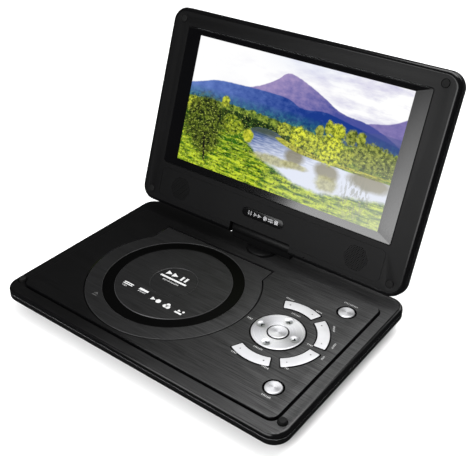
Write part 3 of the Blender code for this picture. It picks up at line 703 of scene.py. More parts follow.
def build_top_case():
    outer = edge_curve(0.35, BORDER_LOW, 3, up=False) + edge_curve(BORDER_ROUND, BORDER_TOP, 8)
    case = loft("upper_case", BASE, outer)
    pad = plate("upper_pad", circle(0, HINGE.y, PAD_RADIUS), BORDER_LOW + 0.2, BORDER_TOP - 0.1, 0.9)
    carve(case, pad, operation="UNION")
    cavity = loft("cavity", BASE, [(WALL, 14.0), (WALL, BORDER_TOP - WALL)])
    core = plate("core", circle(0, HINGE.y, PAD_RADIUS - 1), 13.0, BORDER_TOP, 0.1)
    carve(cavity, core)
    carve(case, cavity)
    through = [(0, 17.0), (0, 21.0)]
    seam = [(1.2, SEAM_FLOOR), (1.2, 21), (-1.3, 21), (-1.3, SEAM_FLOOR)]
    tools = [
        loft("pocket", circle(0, HINGE.y, TURNTABLE_RADIUS + 0.4), [(0, 18.2), (0, 23)]),
        loft("shaft", circle(0, HINGE.y, SHAFT_RADIUS + 0.4, 48), [(0, 14), (0, 19)]),
        loft("bay", cover_shape(COVER_HIGH.y), [(-0.5, 17.0), (-0.5, 21.0)]),
        loft("keypad", circle(NAV.x, NAV.y, ARC_OUTER + 1.5), through),
        loft("seam", DECK, seam, closed=True),
    ]
    tools += wells(ROUND_KEYS, 8.3, 17.0, 21.0)
    for name in BASE_BUMPERS:
        tools.append(hole(about(name, 3.6), 18.9, BORDER_TOP, 0.15))
    for side in (-1, 1):
        inner, outer_end = TAB_X + side * (TAB_HALF_WIDTH - 1), TAB_X + side * (TAB_HALF_WIDTH + 3.4)
        y, z = COVER_HINGE.yz
        tools.append(rod("pin_way", 1.1, (inner, y, z), (outer_end, y, z), 24))
    carve(case, *tools)
    finish_piece(case, BRUSHED, "brushed_black", "base", "top_case")

    # Glossy black for the bevels, the strip along the sides and the strip behind the deck; the seam round the deck
    # and the walls of the holes take it too, as painted shade in the gaps.
    def gloss_and_gap_shade(at, up):
        sides = abs(at.x) > BOTTOM_HIGH.x - GLOSS_BAND or at.y > DECK_HIGH.y
        return up.z < 0.75 or at.z < SEAM_FLOOR + 0.1 or sides

    repaint(case, RIM_BLACK, gloss_and_gap_shade)
    # painted highlight: a light grey line on the upper case's lower rounded edge, where the parting line catches
    # the light
    repaint(case, EDGE_HIGHLIGHT, lambda at, up: at.z < BORDER_LOW + 0.6 and -0.9 < up.z < 0.3)


def build_deck_panel():
    panel = plate("deck", DECK, DECK_LOW.z, SURFACE, 0.7, steps=5)
    bay = [(-0.5, DECK_SEAT), (-0.5, SURFACE - 0.7), (-1.2, SURFACE), (-1.2, SURFACE + 3)]
    tools = [
        loft("bay", cover_shape(COVER_HIGH.y), bay),
        hole(about("nav_ring", NAV_RADIUS + KEY_SEAM, 96), DECK_SEAT, SURFACE, 0.2),
    ]
    spread = math.degrees(KEY_SEAM / ARC_OUTER)
    for start, end in ARC_KEYS.values():
        inner, outer = ARC_INNER - KEY_SEAM, ARC_OUTER + KEY_SEAM
        grown = bent_rect(NAV.x, NAV.y, inner, outer, start - spread, end + spread)
        tools.append(hole(grown, DECK_SEAT, SURFACE, 0.15))
    for name in ROUND_KEYS:
        tools.append(hole(about(name, 7.6, 96), DECK_SEAT, SURFACE, 0.2))
    carve(panel, *tools)
    finish_piece(panel, BRUSHED, "brushed_black", "base", "deck_panel")
    # painted shade: the panel's sloping edges, at its outline, the bay and the key holes, are glossy black so the
    # gaps round them look dark
    repaint(panel, RIM_BLACK, lambda at, up: up.z < 0.85)


def build_cover():
    cover = plate("cover", cover_shape(COVER_HIGH.y - 1.0), COVER_LOW.z + 1.1, SURFACE, 0.3)
    x, y, z = COVER_HINGE
    reach = TAB_HALF_WIDTH - 0.4
    carve(cover, rod("barrel", 1.5, (x - reach, y, z), (x + reach, y, z), 32), operation="UNION")
    ring = circle(SPINDLE.x, SPINDLE.y, GROOVE_OUTER, 160)
    width = GROOVE_OUTER - GROOVE_INNER
    floor = SURFACE - GROOVE_DEPTH
    profile = [(0, floor), (width, floor), (width, SURFACE - 0.35), (width + 0.35, SURFACE)]
    profile += [(width + 0.35, SURFACE + 2), (-0.2, SURFACE + 2), (-0.2, SURFACE), (0, SURFACE - 0.2)]
    groove = loft("groove", ring, profile, closed=True)
    recess = hole(circle(SPINDLE.x, SPINDLE.y, HUB_MARK, 120), SURFACE - HUB_DEPTH, SURFACE, 0.35)
    carve(cover, groove, recess)
    finish_piece(cover, COVER_BRUSHED, "brushed_black", "cover", "disc_cover")
    # painted highlight: the cover's sloping lips and groove walls are a lighter grey, as lit edges
    repaint(cover, RIM_HIGHLIGHT, lambda at, up: 0.3 < up.z < 0.97 and at.z > floor + 0.1)
    low, high = floor - 0.1, floor + 0.05
    band = [(0.12, low), (width - 0.12, low), (width - 0.12, high), (0.12, high)]
    floor_ring = loft("cover_groove_floor", ring, band, closed=True)
    finish_piece(floor_ring, GROOVE_AND_SHADE_BLACK, "gloss_black", "cover")


def build_feet_and_bumpers():
    for name in FEET + BASE_BUMPERS:
        low, high = span(name)
        radius = (high.x - low.x) / 2 - (0.5 if name in BASE_BUMPERS else 0.0)
        disc = plate(name + "_fine", about(name, radius), low.z, high.z, 0.6, 0.5)
        finish_piece(disc, RUBBER, "rubber", "base", name)
    for name in LID_BUMPERS:
        low, high = span(name, LID)
        outline = about(name, (high.x - low.x) / 2, place=LID)
        disc = plate(name + "_fine", outline, low.z, high.z, 0.35, place=LID)
        finish_piece(disc, RUBBER, "rubber", "lid", name)


# Keys --------------------


def centred(piece, x, y):
    """Moves a mesh's own origin to a point, so that its material can turn about it."""
    piece.data.transform(Matrix.Translation((-x * MM, -y * MM, 0.0)))
    piece.matrix_world = piece.matrix_world @ Matrix.Translation((x * MM, y * MM, 0.0))


def chevron(x, y, reach, angle, size):
    """The outline of a small arrow head that points outwards from a centre."""
    flat = [(-1.0, -0.9), (-0.35, -0.9), (0.55, 0.0), (-0.35, 0.9), (-1.0, 0.9), (-0.25, 0.0)]
    c, s = math.cos(math.radians(angle)), math.sin(math.radians(angle))
    points = [(reach + along * size, across * size) for along, across in flat]
    return [(x + px * c - py * s, y + px * s + py * c) for px, py in points]


def build_nav_ring():
    low, high = span("nav_ring")
    top = high.z
    dish = NAV_RADIUS - NAV_HOLE
    profile = [(0.0, low.z), (0.0, top - 0.7), (0.25, top - 0.25), (0.7, top), (1.6, top)]
    profile += [(dish * 0.55, top - 0.22), (dish - 0.8, top - 0.40), (dish - 0.25, top - 0.50)]
    profile += [(dish, top - 0.8), (dish, low.z)]
    ring = loft("nav_ring_fine", about("nav_ring", NAV_RADIUS, 120), profile, closed=True)
    slope = [(2.4, top - 0.85), (1.2, top - 0.72), (0.0, top - 0.2), (-0.4, top + 0.6)]
    dimples, arrows = [], []
    for angle in (0, 90, 180, 270):
        x, y = polar(NAV.x, NAV.y, DIMPLE_REACH, math.radians(angle))
        dimples.append(loft("dimple", circle(x, y, DIMPLE_RADIUS, 40), slope))
        arrows.append(chevron(NAV.x, NAV.y, DIMPLE_REACH - 0.2, angle, 1.7))
    carve(ring, *dimples)
    ink_shapes("nav_arrows", arrows, top - 0.85, GROOVE_AND_SHADE_BLACK, "silver", "nav_ring_body", thickness=0.08)
    centred(ring, NAV.x, NAV.y)
    finish_piece(ring, SILVER, "silver", "nav_ring_body", "nav_ring")
    # painted shade: the dimples and the inner edge of the dish get a darker steel
    repaint(ring, STEEL, lambda at, up: at.z < top - 0.55)
    # painted shade: the ring's sides are near black, for the dark gap round it
    repaint(ring, GROOVE_AND_SHADE_BLACK, lambda at, up: up.z < 0.55)


def build_domed_key(name, radius, sides, dome, side_slope):
    """A round key turned from its top's profile, with its sides painted black as painted shade in the gap round
    it.
    """
    profile = [(0.0, span(name)[0].z)] + dome
    key = loft(name + "_fine", about(name, radius, sides), profile)
    place = middle(name)
    centred(key, place.x, place.y)
    finish_piece(key, SILVER, "silver", name + "_body", name)
    repaint(key, GROOVE_AND_SHADE_BLACK, lambda at, up: up.z < side_slope)


def build_keys():
    build_nav_ring()
    top = span("select_button")[1].z
    dome = [(0.0, top - 0.7), (0.2, top - 0.3), (0.7, top), (1.4, top)]
    dome += [(2.4, top - 0.25), (4.4, top - 0.35), (7.5, top - 0.35)]
    build_domed_key("select_button", SELECT_RADIUS, 96, dome, 0.6)
    for name, (start, end) in ARC_KEYS.items():
        low, high = span(name)
        outline = bent_rect(NAV.x, NAV.y, ARC_INNER, ARC_OUTER, start, end, 0.8)
        key = plate(name + "_fine", outline, low.z, high.z, 0.5, steps=5)
        finish_piece(key, KEY_SILVER, "silver", name + "_body", name)
        # painted shade: the key's sides are near black, for the dark gap round it
        repaint(key, GROOVE_AND_SHADE_BLACK, lambda at, up: up.z < 0.5)
    for name in ROUND_KEYS:
        low, high = span(name)
        dome = [(0.0, high.z - 1.2)] + edge_curve(1.1, high.z, 5)[1:]
        dome += [(2.4, high.z - 0.1), (6.2, high.z - 0.3)]
        build_domed_key(name, (high.x - low.x) / 2, 72, dome, 0.4)


# Printed marks --------------------


def ink_shapes(name, shapes, surface, material, slot, body, place=HERE, thickness=0.04):
    """Flat printed shapes, each a list of points, as one thin piece on a surface."""
    parts = [
        loft("ink", lambda inset, points=points: points, [(0, surface - 0.05), (0, surface + thickness)])
        for points in shapes
    ]
    made = merge(name, parts, place)
    finish_piece(made, material, slot, body)


def bar(x, y, length, height, angle=0.0):
    turn = math.radians(angle)
    c, s = math.cos(turn), math.sin(turn)
    corners = ((-1, -1), (1, -1), (1, 1), (-1, 1))
    half_l, half_h = length / 2, height / 2
    return [(x + i * half_l * c - j * half_h * s, y + i * half_l * s + j * half_h * c) for i, j in corners]


def poly(x, y, points, size=1.0):
    return [(x + px * size, y + py * size) for px, py in points]


def dot(x, y, radius, sides=14):
    return circle(x, y, radius, sides)(0.0)


def caption(x, y, length, angle=0.0):
    """A row of fine strokes, about as long and as tall as a printed word."""
    turn = math.radians(angle)
    strokes = []
    count = max(3, round(length / 1.15))
    for i in range(count):
        shift = (i - (count - 1) / 2) * length / count
        px, py = x + shift * math.cos(turn), y + shift * math.sin(turn)
        strokes.append(bar(px, py, 0.34, 1.35, angle))
        if i % 3:
            lift = 0.52 if i % 2 else -0.52
            qx = px + 0.36 * math.cos(turn) - lift * math.sin(turn)
            qy = py + 0.36 * math.sin(turn) + lift * math.cos(turn)
            strokes.append(bar(qx, qy, 0.44, 0.30, angle))
    return strokes


PLAY = [(-1, -1), (1, 0), (-1, 1)]


def build_deck_marks():
    labels = [
        (58.5, 36.8, 7.0, 0), (84.6, 36.8, 5.5, 0), (103.8, 26.6, 7.0, -60), (113.5, 10.4, 6.5, -85),
        (114.0, -5.1, 4.5, -85), (99.3, -29.1, 4.5, 0), (87.4, -37.1, 6.0, 0), (61.3, -37.8, 5.0, 0),
        (99.3, 58.9, 12.0, 0), (103.9, -59.3, 7.5, 0), (47.9, -0.5, 5.0, 0), (72.9, 23.3, 8.0, 0),
        (99.5, 1.0, 5.0, 0), (72.0, -24.0, 8.0, 0),
    ]
    shapes = []
    for label in labels:
        shapes += caption(*label)
    ink_shapes("deck_print", shapes, SURFACE, CAPTION_INK, "brushed_black", "base")
    key_top = span("key_rear")[1].z
    for name, (start, end) in ARC_KEYS.items():
        marks = []
        for angle, sides in ((start + 8, 3), (end - 8, 4)):
            x, y = polar(NAV.x, NAV.y, (ARC_INNER + ARC_OUTER) / 2, math.radians(angle))
            marks.append(dot(x, y, 0.75, sides))
        ink_shapes(name + "_marks", marks, key_top, FAINT_INK, "silver", name + "_body", thickness=0.03)


def build_cover_marks():
    x, y = SPINDLE.x - 2.5, SPINDLE.y + 4.5
    hub = [poly(x - 8, y + 3.0, PLAY, 2.6), poly(x - 2, y + 3.0, PLAY, 2.6)]
    hub += [bar(x + 5.0, y + 3.0, 2.0, 5.2), bar(x + 9.0, y + 3.0, 2.0, 5.2)]
    hub += [bar(x, y - 2.4, 26.0, 1.9)] + caption(x, y - 6.0, 16.0)
    ink_shapes("hub_print", hub, SURFACE - HUB_DEPTH, INK, "brushed_black", "cover")
    x, y = -52.9, -24.9
    shapes = [bar(x, y + 1.6, 9.5, 1.1), bar(x, y - 0.2, 9.5, 0.9)] + caption(x - 1.5, y - 2.4, 5.0)
    x, y = -37.4, -24.5
    shapes += [bar(x, y + 1.2, 9.0, 2.2)] + caption(x, y - 1.4, 8.0)
    x, y = -21.8, -26.8
    shapes += [poly(x - 2.6, y, PLAY, 1.9), dot(x + 2.4, y, 2.2)]
    x, y = -10.2, -27.2
    shapes += [dot(x - 1.4, y - 0.8, 1.9), dot(x + 1.4, y - 0.8, 1.9), dot(x, y + 1.4, 1.8)]
    x, y = 1.7, -27.2
    shapes += [bar(x, y - 1.4, 6.5, 1.6), poly(x - 0.6, y + 1.0, PLAY, 1.3), dot(x + 3.0, y + 1.6, 1.0)]
    ink_shapes("cover_print", shapes, SURFACE, INK, "brushed_black", "cover")
    open_mark = [poly(-64.0, -49.0, [(-2.2, 0), (2.2, 0), (0, 2.4)]), bar(-64.0, -50.6, 4.4, 0.9)]
    ink_shapes("open_mark", open_mark, SURFACE, FAINT_INK, "brushed_black", "cover")


# Lid --------------------


LID_OUTLINE = between(BEZEL_LOW, BEZEL_HIGH, LID_CORNER, 14)


def in_lid(at):
    """A point of the world in the lid's frame, both in millimetres."""
    return LID.inverted() @ (at * MM) / MM


def notch_cutter():
    return block("notch", (-NOTCH_HALF_WIDTH, -5, -30), (NOTCH_HALF_WIDTH, NOTCH_HEIGHT, 10), LID)


def lid_hollow(lower, high_n):
    """The space inside one lid shell, kept clear of the walls round the notch."""
    profile = [(inset + WALL, n) for inset, n in lower] + [(WALL, high_n)]
    hollow = loft("hollow", LID_OUTLINE, profile, LID)
    reach = NOTCH_HALF_WIDTH + WALL
    carve(hollow, block("core", (-reach, -5, -30), (reach, NOTCH_HEIGHT + WALL, 10), LID))
    return hollow


def grille(x, s, low, high):
    """Many small holes on a close-packed pattern inside a circle."""
    parts = []
    row_pitch = GRILLE_PITCH * 0.866
    rows = int(GRILLE_REACH / row_pitch) + 1
    for row in range(-rows, rows + 1):
        for column in range(-rows - 1, rows + 2):
            px, ps = (column + (row % 2) / 2) * GRILLE_PITCH, row * row_pitch
            if math.hypot(px, ps) <= GRILLE_REACH:
                parts.append(loft("bit", circle(x + px, s + ps, GRILLE_HOLE, 8), [(0, low), (0, high)]))
    return merge("grille", parts, LID)


def build_bezel():
    low, high = BEZEL_LOW.z, BEZEL_HIGH.z
    profile = edge_curve(0.3, low, 3, up=False) + edge_curve(BEZEL_ROUND, high, 9)
    bezel = loft("bezel", LID_OUTLINE, profile, LID)
    carve(bezel, lid_hollow([(0.0, low - 4)], high - WALL))
    edge = [(-0.3, -4.0), (-0.3, high - 0.25), (-0.55, high), (-0.55, 2.0)]
    tools = [loft("window", between(WINDOW_LOW, WINDOW_HIGH, 1.8), edge, LID), notch_cutter()]
    badge = between(*span("lid_badge", LID), 3.6)
    tools.append(loft("seat", badge, [(-0.3, high - 0.8), (-0.3, high + 1)], LID))
    for name in LID_BUMPERS:
        tools.append(hole(about(name, 3.3, place=LID), high - 0.9, high, 0.12, LID))
    tools.append(trench(round_rect(0, 20.5, 111.0, 13.0, 4.0), 0.5, high - 0.3, high + 1, LID))
    for x in (-49.0, 45.0):
        tools.append(loft("dimple", circle(x, 3.2, 0.9, 20), [(0, high - 0.4), (0, high + 1)], LID))
    carve(bezel, *tools)
    for name in SPEAKERS:
        place = middle(name, LID)
        carve(bezel, grille(place.x, place.y, high - WALL - 1, high + 1))
    finish_piece(bezel, SATIN, "satin_black", "lid", "lid_bezel")

    def on_edge(at, up):
        place = in_lid(at)
        reach = BEZEL_HIGH.x - BEZEL_ROUND
        return abs(place.x) > reach or not BEZEL_ROUND < place.y < BEZEL_HIGH.y - BEZEL_ROUND or corner(place)

    def corner(place):
        x = abs(place.x) - BEZEL_HIGH.x + LID_CORNER
        s = abs(place.y - BEZEL_HIGH.y / 2) - BEZEL_HIGH.y / 2 + LID_CORNER
        return min(x, s) > 0 and math.hypot(x, s) > LID_CORNER - BEZEL_ROUND

    repaint(bezel, RIM_BLACK, on_edge)


def build_lid_back():
    low, high = BACK_LOW.z, BACK_HIGH.z
    profile = edge_curve(BACK_ROUND, low, 9, up=False) + edge_curve(0.3, high, 3)
    back = loft("back", LID_OUTLINE, profile, LID)
    carve(back, lid_hollow(edge_curve(6.0, low + WALL, 5, up=False), high + 4))
    inner = NOTCH_HALF_WIDTH + 0.8
    bosses = []
    for left, right in ((-43.0, -inner), (inner, 43.0)):
        bosses.append(block("boss", (left, 0.9, low + 1.0), (right, 8.4, high), LID))
    carve(back, *bosses, operation="UNION")
    axis = LID.inverted() @ Vector(JOINTS["lid_tilt"]["pos_m"]) / MM
    carve(back, notch_cutter(), *pin_ways(axis, 28.0, 41.4, LID))
    finish_piece(back, BACK_GLOSS, "gloss_black", "lid", "lid_back")


def pin_ways(axis, near, far, place=HERE):
    """The holes for the two tilt pins, between two distances from the middle."""
    ways = []
    for side in (-1, 1):
        start, end = (side * near, axis.y, axis.z), (side * far, axis.y, axis.z)
        ways.append(rod("way", PIN_WAY, start, end, 32, place))
    return ways


def build_hinge():
    reach = NOTCH_HALF_WIDTH - HINGE_PLAY
    turntable = [(0.0, 18.5), (0.0, 21.5), (0.25, 22.05), (0.8, 22.3)]
    bracket = loft("bracket", circle(0, HINGE.y, TURNTABLE_RADIUS), turntable)
    shaft = loft("shaft", circle(0, HINGE.y, SHAFT_RADIUS, 48), [(0, 12.5), (0, 19.0)])
    neck = block("neck", (-11, HINGE.y - 4.2, 21.5), (11, HINGE.y + 4.2, 24.5))
    yoke_low = 22.8
    side_view = round_rect(HINGE.y, (yoke_low + HINGE.z) / 2, 4.6, (HINGE.z - yoke_low) / 2, 1.0, 4)
    yoke = loft("yoke", side_view, [(0.5, -reach), (0.0, -reach + 0.5), (0.0, reach - 0.5), (0.5, reach)])
    yoke.data.transform(Matrix(((0, 0, 1, 0), (1, 0, 0, 0), (0, 1, 0, 0), (0, 0, 0, 1))))
    carve(bracket, shaft, neck, yoke, operation="UNION")
    seat = rod("seat", BARREL_RADIUS + 0.3, (-40, HINGE.y, HINGE.z), (40, HINGE.y, HINGE.z), 64)
    bore = loft("bore", circle(0, HINGE.y, 3.0, 32), [(0, 12.0), (0, 20.0)])
    carve(bracket, seat, bore)
    finish_piece(bracket, SATIN, "satin_black", "swivel", "swivel_bracket")
    left, right = (-reach, HINGE.y, HINGE.z), (reach, HINGE.y, HINGE.z)
    barrel = rod("hinge_barrel_fine", BARREL_RADIUS, left, right, 64)
    carve(barrel, *pin_ways(HINGE, 24.7, 41.0))
    finish_piece(barrel, SATIN, "gloss_black", "swivel", "hinge_barrel")


# Screen --------------------


class Painting:
    """Layers of colour, laid far to near across a picture that runs from 0 to 1 each way."""

    def __init__(self, graph, across, up):
        self.graph = graph
        self.across = across
        self.up = up
        self.colour = None
        self.place = graph.vector(across, up * 0.54)

    def grain(self, scale, detail=4.0, stretch=(1.0, 1.0)):
        stretched = self.graph.scaled(stretch[0], stretch[1], 1.0, self.place)
        return self.graph.noise(stretched, scale, detail, 0.62)

    def curve(self, points):
        node = self.graph.add("ShaderNodeFloatCurve", {"Value": self.across})
        line = node.mapping.curves[0]
        while len(line.points) < len(points):
            line.points.new(0.5, 0.5)
        for point, (x, y) in zip(line.points, points):
            point.location = (x, y)
            point.handle_type = "AUTO"
        node.mapping.update()
        return Field(self.graph, node.outputs[0])

    def lay(self, colour, mask):
        self.colour = self.graph.mix(self.colour, colour, mask)

    def under(self, points, ragged=0.0, scale=30.0, soft=0.008, detail=4.0):
        """A mask below a skyline, with a ragged edge."""
        line = self.curve(points)
        if ragged:
            line = line + (self.grain(scale, detail) - 0.5) * ragged
        return (line - self.up).above(0.0, soft)

    def clump(self, x, y, half_width, half_height, ragged=0.9, scale=28.0, soft=0.25):
        """A mask for a rounded crown of leaves."""
        dx = (self.across - x) / half_width
        dy = (self.up - y) / half_height
        reach = (dx * dx + dy * dy) ** 0.5
        return (reach + (self.grain(scale, 5.0) - 0.5) * ragged).below(1.0, soft)

    def mottled(self, dark, light, scale=40.0, low=0.38, high=0.62, stretch=(1.0, 1.0)):
        amount = (self.grain(scale, 5.0, stretch) - low) / (high - low)
        return self.graph.mix(dark, light, amount)


def paint_hills(art):
    across, up, mix = art.across, art.up, art.graph.mix
    clouds = (art.grain(4.5, 5.0, (1.0, 3.2)) - 0.45) * 5.0 * across.above(0.55, 0.9)
    art.colour = mix((1.0, 1.0, 1.0), (0.62, 0.60, 0.78), clouds)
    zenith = up.above(0.93, 0.12) * across.above(0.45, 0.3) * across.below(0.65, 0.3)
    art.lay((0.50, 0.60, 0.85), zenith * 0.35)
    shade = art.grain(26.0, 5.0, (1.0, 1.6))
    far = [(0.0, 0.60), (0.80, 0.66), (0.86, 0.705), (0.93, 0.735), (1.0, 0.80)]
    art.lay(mix((0.11, 0.11, 0.34), (0.42, 0.34, 0.62), shade), art.under(far, 0.01))
    peak = [(0.0, 0.5), (0.27, 0.70), (0.36, 0.765), (0.42, 0.83), (0.47, 0.895), (0.50, 0.89)]
    peak += [(0.57, 0.85), (0.65, 0.79), (0.73, 0.725), (0.86, 0.695), (1.0, 0.60)]
    rock = shade * 1.3 + (across - 0.47) * -1.6 + (up - 0.8) * 1.5
    art.lay(mix((0.09, 0.11, 0.38), (0.47, 0.37, 0.60), rock), art.under(peak, 0.012, 60.0))
    ridge = [(0.0, 0.635), (0.06, 0.665), (0.13, 0.70), (0.25, 0.715), (0.40, 0.722), (0.49, 0.715)]
    ridge += [(0.56, 0.675), (0.66, 0.695), (0.78, 0.665), (0.9, 0.63), (1.0, 0.60)]
    blue = shade * 1.1 + (across * -1.3 + 0.25)
    art.lay(mix((0.015, 0.06, 0.30), (0.20, 0.30, 0.66), blue), art.under(ridge, 0.008, 50.0))
    art.lay(art.mottled((0.010, 0.075, 0.14), (0.05, 0.26, 0.24), 60.0), up.below(0.585, 0.10) * 0.85)
    slope = [(0, 0.0), (0.78, 0.60), (0.85, 0.64), (1.0, 0.66)]
    art.lay((0.10, 0.13, 0.33), art.under(slope, 0.02) * 0.55)


def paint_woods(art):
    """Far trees, dark trees and a meadow, each with its skyline, ragged edge and two colours."""
    far = [(0.0, 0.53), (0.12, 0.545), (0.30, 0.55), (0.45, 0.54), (0.55, 0.53), (0.8, 0.52), (1.0, 0.55)]
    dark = [(0.0, 0.48), (0.2, 0.50), (0.36, 0.50), (0.47, 0.475), (0.56, 0.44), (0.7, 0.36), (1.0, 0.34)]
    grass = [(0.0, 0.40), (0.12, 0.40), (0.28, 0.36), (0.36, 0.43), (0.42, 0.40), (0.6, 0.38), (1.0, 0.36)]
    for line, ragged, scale, low, high, *leaves in (
        (far, 0.06, 34.0, (0.03, 0.08, 0.02), (0.36, 0.46, 0.07), 46.0),
        (dark, 0.05, 30.0, (0.004, 0.012, 0.004), (0.05, 0.11, 0.02), 60.0),
        (grass, 0.02, 40.0, (0.035, 0.16, 0.02), (0.50, 0.66, 0.05), 22.0, 0.40, 0.62, (1.0, 5.0)),
    ):
        art.lay(art.mottled(low, high, *leaves), art.under(line, ragged, scale))


def paint_lake(art):
    """The lake, its reflections and the sunny bank behind it, and the lake's mask."""
    across, up = art.across, art.up
    edge = [(0.0, 0.0), (0.30, 0.20), (0.345, 0.42), (0.47, 0.445), (0.54, 0.37), (0.70, 0.345), (1.0, 0.34)]
    water = art.under(edge, 0.008)
    ripples = art.grain(26.0, 3.0, (1.0, 7.0))
    glow = ripples * 1.2 + (across - 0.42) * 1.7 + (up - 0.36) * -4.0 - 0.28
    art.lay(art.graph.mix((0.05, 0.12, 0.34), (0.80, 0.84, 0.95), glow), water)
    art.lay((0.10, 0.12, 0.03), water * up.above(0.40, 0.04) * across.below(0.50, 0.08) * 0.75)
    for x, y, wide in ((0.575, 0.315, 0.045), (0.73, 0.285, 0.055), (0.92, 0.305, 0.09)):
        art.lay((0.23, 0.19, 0.06), art.clump(x, y, wide, 0.06, 0.6, 20.0, 0.5) * 0.75)
    bank = art.mottled((0.30, 0.33, 0.04), (0.66, 0.62, 0.10), 50.0, 0.38, 0.62, (1.0, 3.0))
    top = [(0.0, 0.0), (0.455, 0.10), (0.47, 0.415), (0.56, 0.40), (0.68, 0.375), (0.75, 0.37), (1.0, 0.37)]
    low = [(0.0, 1.0), (0.46, 0.42), (0.50, 0.385), (0.60, 0.352), (0.72, 0.345), (1.0, 0.36)]
    art.lay(bank, art.under(top, 0.01) * art.under(low, 0.01).inverse())
    return water


def paint_field(art):
    """The sunny field on this side with its reeds, and the field's mask."""
    shore = [(0.0, 0.42), (0.20, 0.36), (0.33, 0.32), (0.40, 0.24), (0.50, 0.185), (0.58, 0.135)]
    shore += [(0.70, 0.115), (0.85, 0.16), (1.0, 0.20)]
    near = art.under(shore, 0.05, 26.0, 0.03)
    tufts = art.grain(17.0, 4.0, (1.0, 4.5)) * 4.4 + art.up * -1.5 + -1.55
    art.lay(art.graph.mix((0.045, 0.16, 0.010), (0.66, 0.78, 0.06), tufts), near)
    reeds = art.mottled((0.36, 0.34, 0.14), (0.62, 0.60, 0.30), 50.0)
    for x, y, wide, tall in ((0.48, 0.24, 0.10, 0.035), (0.58, 0.25, 0.06, 0.025), (0.74, 0.20, 0.05, 0.06)):
        art.lay(reeds, art.clump(x, y, wide, tall, 0.9, 34.0, 0.5) * 0.8)
    return near


def paint_trees(art):
    across, up = art.across, art.up
    for x, y, wide, tall, bright in (
        (0.697, 0.60, 0.018, 0.055, 0.7), (0.74, 0.585, 0.030, 0.065, 0.85),
        (0.80, 0.575, 0.025, 0.060, 0.45), (0.84, 0.58, 0.020, 0.055, 0.55),
        (0.66, 0.55, 0.020, 0.045, 0.5), (0.195, 0.56, 0.022, 0.045, 0.75),
        (0.90, 0.48, 0.090, 0.095, 0.45), (0.985, 0.46, 0.060, 0.080, 0.35),
        (0.50, 0.49, 0.030, 0.050, 0.7), (0.575, 0.47, 0.042, 0.075, 1.0),
        (0.635, 0.455, 0.036, 0.070, 0.85), (0.725, 0.45, 0.058, 0.110, 1.0),
        (0.80, 0.43, 0.030, 0.060, 0.6), (0.03, 0.47, 0.045, 0.060, 0.8),
    ):
        sunny = (0.78 * bright + 0.06, 0.78 * bright + 0.10, 0.07 + 0.05 * (1 - bright))
        dim = (0.14 * bright + 0.02, 0.17 * bright + 0.04, 0.02)
        art.lay(art.mottled(dim, sunny, 62.0, 0.40, 0.58), art.clump(x, y, wide, tall, 1.1, 55.0))
    bush = art.mottled((0.06, 0.12, 0.01), (0.52, 0.60, 0.05), 60.0)
    art.lay(bush, art.clump(0.25, 0.40, 0.055, 0.075, 0.8, 34.0))
    bush = art.mottled((0.30, 0.36, 0.02), (0.75, 0.74, 0.08), 60.0)
    art.lay(bush, art.clump(0.34, 0.36, 0.026, 0.050, 0.8, 40.0))
    crown = art.mottled((0.010, 0.018, 0.006), (0.20, 0.26, 0.03), 58.0, 0.42, 0.62)
    art.lay(crown, art.clump(0.105, 0.36, 0.105, 0.205, 1.0, 30.0, 0.35) * 0.92)
    art.lay(crown, art.clump(0.13, 0.22, 0.060, 0.120, 1.2, 34.0, 0.4) * 0.8)
    trunk = (across - ((up - 0.1) * -0.10 + 0.135)).size().below(0.005, 0.004)
    art.lay((0.015, 0.012, 0.008), trunk * up.below(0.27, 0.05) * up.above(0.06, 0.02))
    twigs = art.grain(90.0, 2.0, (1.0, 0.35)).above(0.52, 0.05)
    art.lay((0.30, 0.30, 0.24), twigs * art.clump(0.87, 0.16, 0.06, 0.17, 0.8, 20.0, 0.6) * 0.55)


def landscape(graph, across, up):
    """A mountain lake in colours laid far to near, then fine dark and bright grains over the land, and a painted
    reflection that whitens its lower right.
    """
    art = Painting(graph, across, up)
    paint_hills(art)
    paint_woods(art)
    water = paint_lake(art)
    near = paint_field(art)
    paint_trees(art)
    land = water.inverse().greater(near) * up.below(0.54, 0.06)
    grit = art.grain(95.0, 6.0).above(0.55, 0.10) * art.grain(24.0, 3.0).above(0.46, 0.10) * land
    art.lay((0.004, 0.014, 0.004), grit * across.below(1.0, 0.9) * 0.75)
    glints = art.grain(120.0, 5.0, (0.7, 1.2)).above(0.60, 0.05) * land
    art.lay((0.80, 0.90, 0.22), glints * 0.55)
    art.colour = graph.add("ShaderNodeGamma", {"Color": art.colour, "Gamma": 1.15}).outputs[0]
    # painted reflection: a whitish wash over the picture's lower right, as light off the glass
    painted_glare = across.above(0.80, 0.75) * up.below(0.30, 0.55)
    art.lay((0.95, 0.95, 0.92), painted_glare * 0.50)
    return art.colour


def screen_material():
    """Gloss black round a lit picture."""
    graph = Graph("screen")
    inputs = {"Vector": graph.coordinates, "Location": LID.translation, "Rotation": LID.to_euler()}
    place = graph.add("ShaderNodeMapping", inputs, vector_type="TEXTURE").outputs[0]
    across = graph.axis(0, place) / (2 * PICTURE_HALF_WIDTH * MM) + 0.5
    up = (graph.axis(1, place) - PICTURE_LOW * MM) / ((PICTURE_HIGH - PICTURE_LOW) * MM)
    lit = across.above(0.0, 0.001) * across.below(1.0, 0.001) * up.above(0.0, 0.001) * up.below(1.0, 0.001)
    art = landscape(graph, across.greater(0.0).lesser(1.0), up.greater(0.0).lesser(1.0))
    smudge = graph.noise(graph.coordinates, 30.0, 3.0)
    graph.set(Base_Color=graph.mix((0.0015, 0.0015, 0.0017), (0.0025, 0.0025, 0.0028), smudge))
    graph.set(Roughness=smudge * 0.05 + 0.10)
    graph.set(Emission_Color=graph.mix((0.0, 0.0, 0.0), art, lit), Emission_Strength=1.0)
    # painted reflection: the glossy frame round the picture reflects more towards its bottom and its right
    shine = (up * -0.75 + 0.95).lesser(1.0).greater(0.15) * across.above(0.35, 0.6)
    graph.set(Specular_IOR_Level=shine * lit.inverse())
    return graph.material


